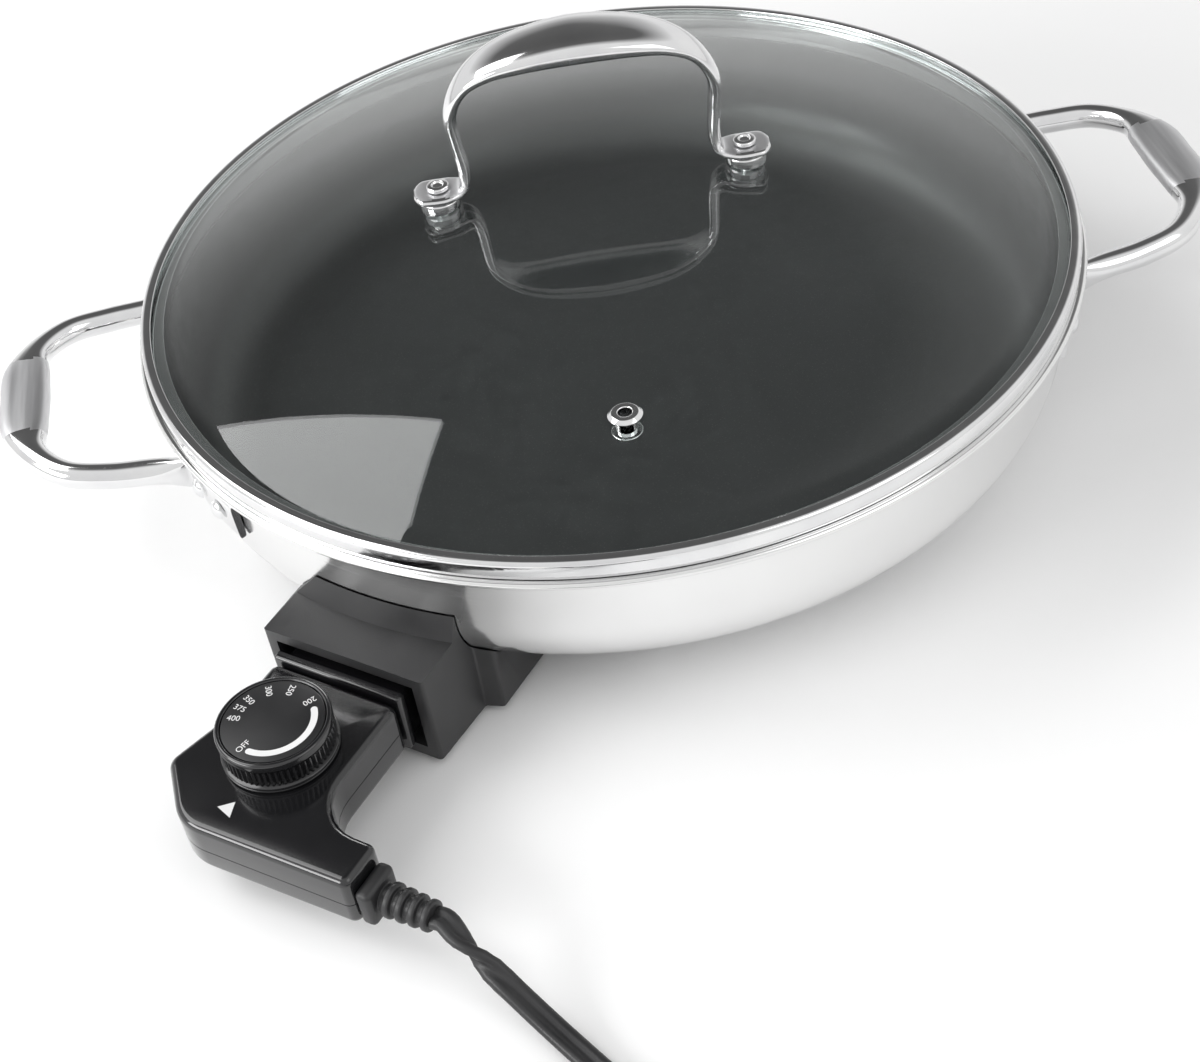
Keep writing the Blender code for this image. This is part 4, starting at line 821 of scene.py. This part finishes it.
# ---- the heat control ----
def control_outline():
    """The L-shaped body from above, with the cord's arm at its far end."""
    half, start, near, far, end = 0.0225, 0.1733, 0.2176, 0.2342, 0.0452
    corners = [
        (start, -half, 0.0028), (start, half, 0.0028), (near, half, 0.0150), (near, end, 0.0028),
        (far - 0.0014, end, 0.0028), (far, -0.0120, 0.0160), (near - 0.0004, -half - 0.0062, 0.0050),
        (near - 0.0240, -half, 0.0200),
    ]
    return rounded(corners, 8)


def make_control():
    """The two shells, and the flange and nose that go into the socket."""
    outline = control_outline()
    cover = slab("control_lid", outline, CONTROL_SPLIT, CONTROL_TOP, top_bevel=COVER_EDGE, segments=6)
    cover = walled(cover, CONTROL_WALL, -1)
    cover = combined(cover, bar("hole", SHAFT_HOLE, (DIAL_U, 0.0, CONTROL_TOP - 0.005), 0.01, "z"))
    piece("control_lid", cover, "control", GLOSSY, "control_cover", slot="gloss_black", at=AT_PROBE)
    tray = slab("control_tray", outline, CONTROL_LOW, CONTROL_SPLIT - GAP, low_bevel=TRAY_EDGE, segments=6)
    tray = walled(tray, CONTROL_WALL, 1)
    for u, v in CONTROL_SCREWS:
        tray = combined(tray, bar("hole", CONTROL_SCREW_HOLE, (u, v, 0.008), 0.008, "z"))
    piece("control_tray", tray, "control", GLOSSY, "control_base", slot="gloss_black", at=AT_PROBE)
    flange = block("control_flange", *FLANGE_BOX, 0.0009, 4)
    flange = combined(flange, block("nose", *NOSE_BOX, 0.0008, 3), "UNION")
    for v, radius in NOSE_HOLES:
        flange = combined(flange, bar("hole", radius, (0.145, v, PROBE_Z), 0.03, "x"))
    piece("control_flange", flange, "control", GLOSSY, "control_nose", slot="gloss_black", at=AT_PROBE)


def make_dial():
    """The ribbed knob, hollow below, and the disc let into its top."""
    low = DIAL_LOW.z
    top = DIAL_HIGH.z
    face = DIAL_RADIUS - DIAL_LAND
    grip_low, grip_high = low + 0.0026, top - 0.0032

    def fluted(radius, height, turn):
        """The grip's ribs, cut into its outside only."""
        if radius > 0.0155 and grip_low - 0.0001 < height < grip_high + 0.0001:
            return radius - RIB_DEPTH * (0.5 - 0.5 * cos(RIBS * turn)) ** 1.5, height
        return radius, height

    steps = 6
    grip_radius = DIAL_RADIUS - 0.0002
    grip = [(grip_radius, grip_high - (grip_high - grip_low) * i / steps) for i in range(steps + 1)]
    crown = rounded([
        (face, top - 0.0012, 0), (face, top, 0.0005), (DIAL_RADIUS, top, 0.0008),
        (DIAL_RADIUS, top - 0.0026, 0.0003), (grip_radius - 0.0012, top - 0.0030, 0),
    ], 4, False)
    flare = DIAL_RADIUS + DIAL_FLARE
    skirt = rounded([
        (grip_radius - 0.0012, low + 0.0024, 0), (flare, low + 0.0018, 0.0003), (flare, low + 0.0010, 0.0002),
        (grip_radius, low + 0.0008, 0.0001), (flare, low + 0.0006, 0.0001),
        (DIAL_RADIUS + 0.0003, low, 0.0002), (DIAL_HOLLOW, low, 0),
    ], 3, False)
    roof = top - 0.0034
    boss, bore = 0.0050, 0.0025
    hollow = [(DIAL_HOLLOW, roof), (boss, roof), (boss, low), (bore, low), (bore, roof), (0.0, roof)]
    profile = [(0.0, top - 0.0012)] + crown + grip + skirt + hollow
    at = AT_PROBE @ Matrix.Translation((DIAL_U, 0.0, 0.0))
    mesh = turned("dial_knob", profile, RIBS * 8, reshape=fluted)
    piece("dial_knob", mesh, "dial", GLOSSY, "dial", slot="gloss_black", at=at, angle=38)
    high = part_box("dial_face")[1].z
    edge = face - GAP
    corners = [(0.0, high, 0), (edge, high, 0.0002), (edge, high - 0.0004, 0), (0.0, high - 0.0004, 0)]
    disc = turned("dial_disc", rounded(corners, 3, False), 96)
    piece("dial_disc", disc, "dial", INSERT, "dial_face", slot="matte_phenolic", at=at)
    make_print(at, high)


def make_print(at, high):
    """Pale figures that read from the rim inwards, and the band beside OFF."""
    place = Matrix.Translation((MARK_RADIUS, 0.0, high + 0.00005)) @ Matrix.Rotation(pi, 4, "Z")
    for word, angle in MARKS:
        text = bpy.data.curves.new(f"mark_{word}", "FONT")
        text.body = word
        text.size = MARK_SIZE
        text.extrude = 0.00003
        text.align_x = "LEFT"
        text.align_y = "CENTER"
        mesh = settled(linked(text.name, text), text.name)
        turn = Matrix.Rotation(radians(angle), 4, "Z")
        piece(f"dial_mark_{word}", mesh, "dial", PRINT, slot="pale_print", at=at @ turn @ place)
    outer = arc((0.0, 0.0), BAND_RADIUS + BAND_HALF, BAND_START, BAND_END, 44)
    inner = arc((0.0, 0.0), BAND_RADIUS - BAND_HALF, BAND_END, BAND_START, 44)
    ends = []
    for angle, start in ((BAND_END, BAND_END), (BAND_START, BAND_START + 180.0)):
        middle = (BAND_RADIUS * cos(radians(angle)), BAND_RADIUS * sin(radians(angle)))
        ends.append(arc(middle, BAND_HALF, start, start + 180.0, 8)[1:-1])
    band = slab("dial_band", outer + ends[0] + inner + ends[1], high + 0.00002, high + 0.00008)
    piece("dial_band", band, "dial", PRINT, slot="pale_print", at=at)


def make_relief():
    """The block and the ribbed boot where the cord leaves the control."""
    u, v, z = RELIEF_AT
    half = RELIEF_HALF
    body = block("relief_block", (u - half, v, z - half), (u + half, v + RELIEF_DEPTH, z + half), 0.0017, 4)
    piece("relief_block", body, "control", RUBBER, "strain_relief", slot="black_rubber", at=AT_PROBE)
    pitch = BOOT_LENGTH / BOOT_RIBS
    corners = [(0.0, BOOT_LENGTH, 0)]
    for i in range(BOOT_RIBS):
        end = BOOT_LENGTH - pitch * i
        radius = 0.0046 + 0.0002 * i
        groove = radius - 0.0013
        corners += [
            (radius, end, 0.0007), (radius, end - pitch * 0.52, 0.0007),
            (groove, end - pitch * 0.55, 0.0003), (groove, end - pitch * 0.98, 0.0003),
        ]
    corners += [(0.0052, 0.0, 0), (0.0052, -0.001, 0), (0.0, -0.001, 0)]
    boot = turned("relief_boot", rounded(corners, 4, False), 64)
    at = AT_PROBE @ Matrix.Translation((u, v + RELIEF_DEPTH, z)) @ Matrix.Rotation(-pi / 2, 4, "X")
    piece("relief_boot", boot, "control", RUBBER, slot="black_rubber", at=at)


# ---- the cord ----
def coil_points():
    """Turns stacked in layers; each turn climbs to the next over its last few degrees."""
    total = COIL_ENTRY - COIL_EXIT + 360.0 * COIL_TURNS
    steps = 30 * COIL_TURNS + 12
    points = []
    for i in range(steps + 1):
        done = total * i / steps
        turn = radians(COIL_ENTRY - done)
        layer = int(done // 360.0)
        climb = eased((done - 360.0 * layer - (360.0 - CLIMB)) / CLIMB)
        height = COIL_LOW + LAYER * (layer + climb)
        x = COIL_CENTRE[0] + COIL_RADIUS * cos(turn)
        y = COIL_CENTRE[1] + COIL_RADIUS * sin(turn)
        points.append((x, y, height))
    return points


def make_cord():
    """The flat cord: out of the boot, a half twist, down to the floor, round the coil, to the plug."""
    ahead = (AT_PROBE.to_3x3() @ Vector((0.0, 1.0, 0.0))).normalized()
    u, v, z = RELIEF_AT
    mouth = AT_PROBE @ Vector((u, v + RELIEF_DEPTH + BOOT_LENGTH + GAP, z))
    lead = [tuple(mouth), tuple(mouth + ahead * CORD_STIFF)] + LEAD_ROUTE
    knots = lead + coil_points() + TAIL_ROUTE
    path = [Vector(row) for row in through(knots, 4 * (len(knots) - 1))]
    shape = bmesh.new()
    rings = []
    travelled = 0.0
    sides = 28
    for i, place in enumerate(path):
        along = heading(path, i)
        if i:
            travelled += (place - path[i - 1]).length
        flat = along.cross(Vector((0.0, 0.0, 1.0))).normalized()
        over = flat.cross(along)
        roll = TWIST * eased((travelled - TWIST_START) / TWIST_REACH)
        across = flat * cos(roll) + over * sin(roll)
        thin = over * cos(roll) - flat * sin(roll)
        ring = []
        for k in range(sides):
            turn = tau * (k + 0.5) / sides
            x = 2 * CORD_LOBE * cos(turn)
            reach = CORD_LOBE ** 2 - (abs(x) - CORD_LOBE) ** 2
            y = max(CORD_WEB if abs(x) < CORD_LOBE else 0.0, sqrt(max(0.0, reach)))
            ring.append(shape.verts.new(place + across * x + thin * (y if sin(turn) > 0 else -y)))
        rings.append(ring)
    mesh = tube("power_cord", shape, rings)
    parts = ("cord_lead", "cord_coil", "cord_tail")
    cord = piece("power_cord", mesh, "control", RUBBER, *parts, slot="black_rubber", angle=60)


def make_plug():
    """The plug's moulded body, which narrows to finger hollows towards the cord."""
    low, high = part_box("plug_body")
    y = (low.y + high.y) / 2
    half = (high.y - low.y) / 2
    right = [
        (high.x, 0.0055, 0.0014), (high.x - 0.0100, 0.0063, 0.0060), (high.x - 0.0180, half, 0.0050),
        (low.x, half, 0.0020),
    ]
    outline = [(x, across + y) for x, across in rounded(right + mirrored(right), 5)]
    mesh = slab("plug_shell", outline, low.z, high.z, 0.0026, 0.0026, 5)
    piece("plug_shell", mesh, "control", RUBBER, "plug_body", slot="black_rubber")


# ---- the CAD nodes that keep their shape ----
def dress_frame():
    """Their materials."""
    looks = {
        "heat_plate": CAST, "heating_element": SHEATH, "sensor_guide": BRUSHED, "probe": STEEL,
        "thermostat_block": CERAMIC, "contact_arm": BRASS, "dial_screw": BRUSHED, "control_pointer": PRINT,
        "cord_tie": RUBBER, "plug_blade_left": BRASS, "plug_blade_right": BRASS,
    }
    for side in ("left", "right"):
        looks[f"terminal_pin_{side}"] = STEEL
        looks[f"socket_{side}"] = STEEL
        looks[f"lid_nut_{side}"] = BRUSHED
        for end in ("front", "rear"):
            looks[f"{end}_screw_{side}"] = BRUSHED
            looks[f"{end}_foot_{side}"] = RUBBER
    for number in (1, 2):
        looks[f"control_screw_{number}"] = BRUSHED
    for name, look in looks.items():
        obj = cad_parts[name]
        if not obj.material_slots:
            obj.data.materials.append(look)
        for slot in obj.material_slots:
            slot.material = look


# ---- the studio ----
def make_floor():
    """A wide white floor."""
    bpy.ops.mesh.primitive_plane_add(size=12.0, location=(0.0, 0.0, 0.0))
    floor = bpy.context.object
    floor.name = "studio_floor"
    mat, tree, shader = new_material("studio_floor", (0.93, 0.93, 0.93), 0.7)
    shader.inputs["Specular IOR Level"].default_value = 0.2
    tone = blend_colours(tree, noise(tree, 1.5, 2.0), (0.925, 0.925, 0.925), (0.935, 0.935, 0.935))
    tree.links.new(tone, shader.inputs["Base Color"])
    floor.data.materials.append(mat)


def make_world():
    """A bright room with one soft dark panel, high up behind the griddle, for the level tops to mirror."""
    world = bpy.data.worlds.new("studio")
    bpy.context.scene.world = world
    world.use_nodes = True
    tree = world.node_tree
    coords = tree.nodes.new("ShaderNodeTexCoord")
    towards = tree.nodes.new("ShaderNodeVectorMath")
    towards.operation = "DOT_PRODUCT"
    towards.inputs[1].default_value = (0.0, cos(radians(PANEL_RISE)), sin(radians(PANEL_RISE)))
    ramp = tree.nodes.new("ShaderNodeValToRGB")
    tree.links.new(coords.outputs["Generated"], towards.inputs[0])
    tree.links.new(towards.outputs["Value"], ramp.inputs["Fac"])
    ramp.color_ramp.elements[0].position = ROOM_GREYS[0][0]
    ramp.color_ramp.elements[1].position = ROOM_GREYS[-1][0]
    for place, _ in ROOM_GREYS[1:-1]:
        ramp.color_ramp.elements.new(place)
    for stop, (_, grey) in zip(ramp.color_ramp.elements, ROOM_GREYS):
        stop.color = (grey, grey, grey, 1.0)
    shader = tree.nodes["Background"]
    shader.inputs["Strength"].default_value = ROOM_STRENGTH
    tree.links.new(ramp.outputs["Color"], shader.inputs["Color"])


def make_light(name, place, aim, size, power):
    """A soft light, aimed at a point."""
    light = bpy.data.lights.new(name, "AREA")
    light.shape = "RECTANGLE"
    light.size, light.size_y = size
    light.energy = power
    obj = linked(name, light)
    obj.location = place
    obj.rotation_euler = (Vector(aim) - Vector(place)).to_track_quat("-Z", "Y").to_euler()


def make_camera():
    """The photo's camera, as fitted to the photo."""
    camera = bpy.data.cameras.new("photo_camera")
    camera.lens = CAMERA_LENS
    camera.sensor_width = 36.0
    camera.clip_start = 0.01
    obj = linked("photo_camera", camera)
    aim = (Vector(CAMERA_AIM) - Vector(CAMERA_PLACE)).to_track_quat("-Z", "Y").to_matrix().to_4x4()
    obj.matrix_world = Matrix.Translation(CAMERA_PLACE) @ aim @ Matrix.Rotation(radians(-CAMERA_ROLL), 4, "Z")
    bpy.context.scene.camera = obj


make_camera()
make_plug()
make_cord()
make_pan()
make_side_handles()
make_lid()
make_brackets()
make_control()
make_dial()
make_relief()
dress_frame()
make_floor()
make_world()
for light in LIGHTS:
    make_light(*light)
bpy.context.scene.view_settings.view_transform = "Standard"
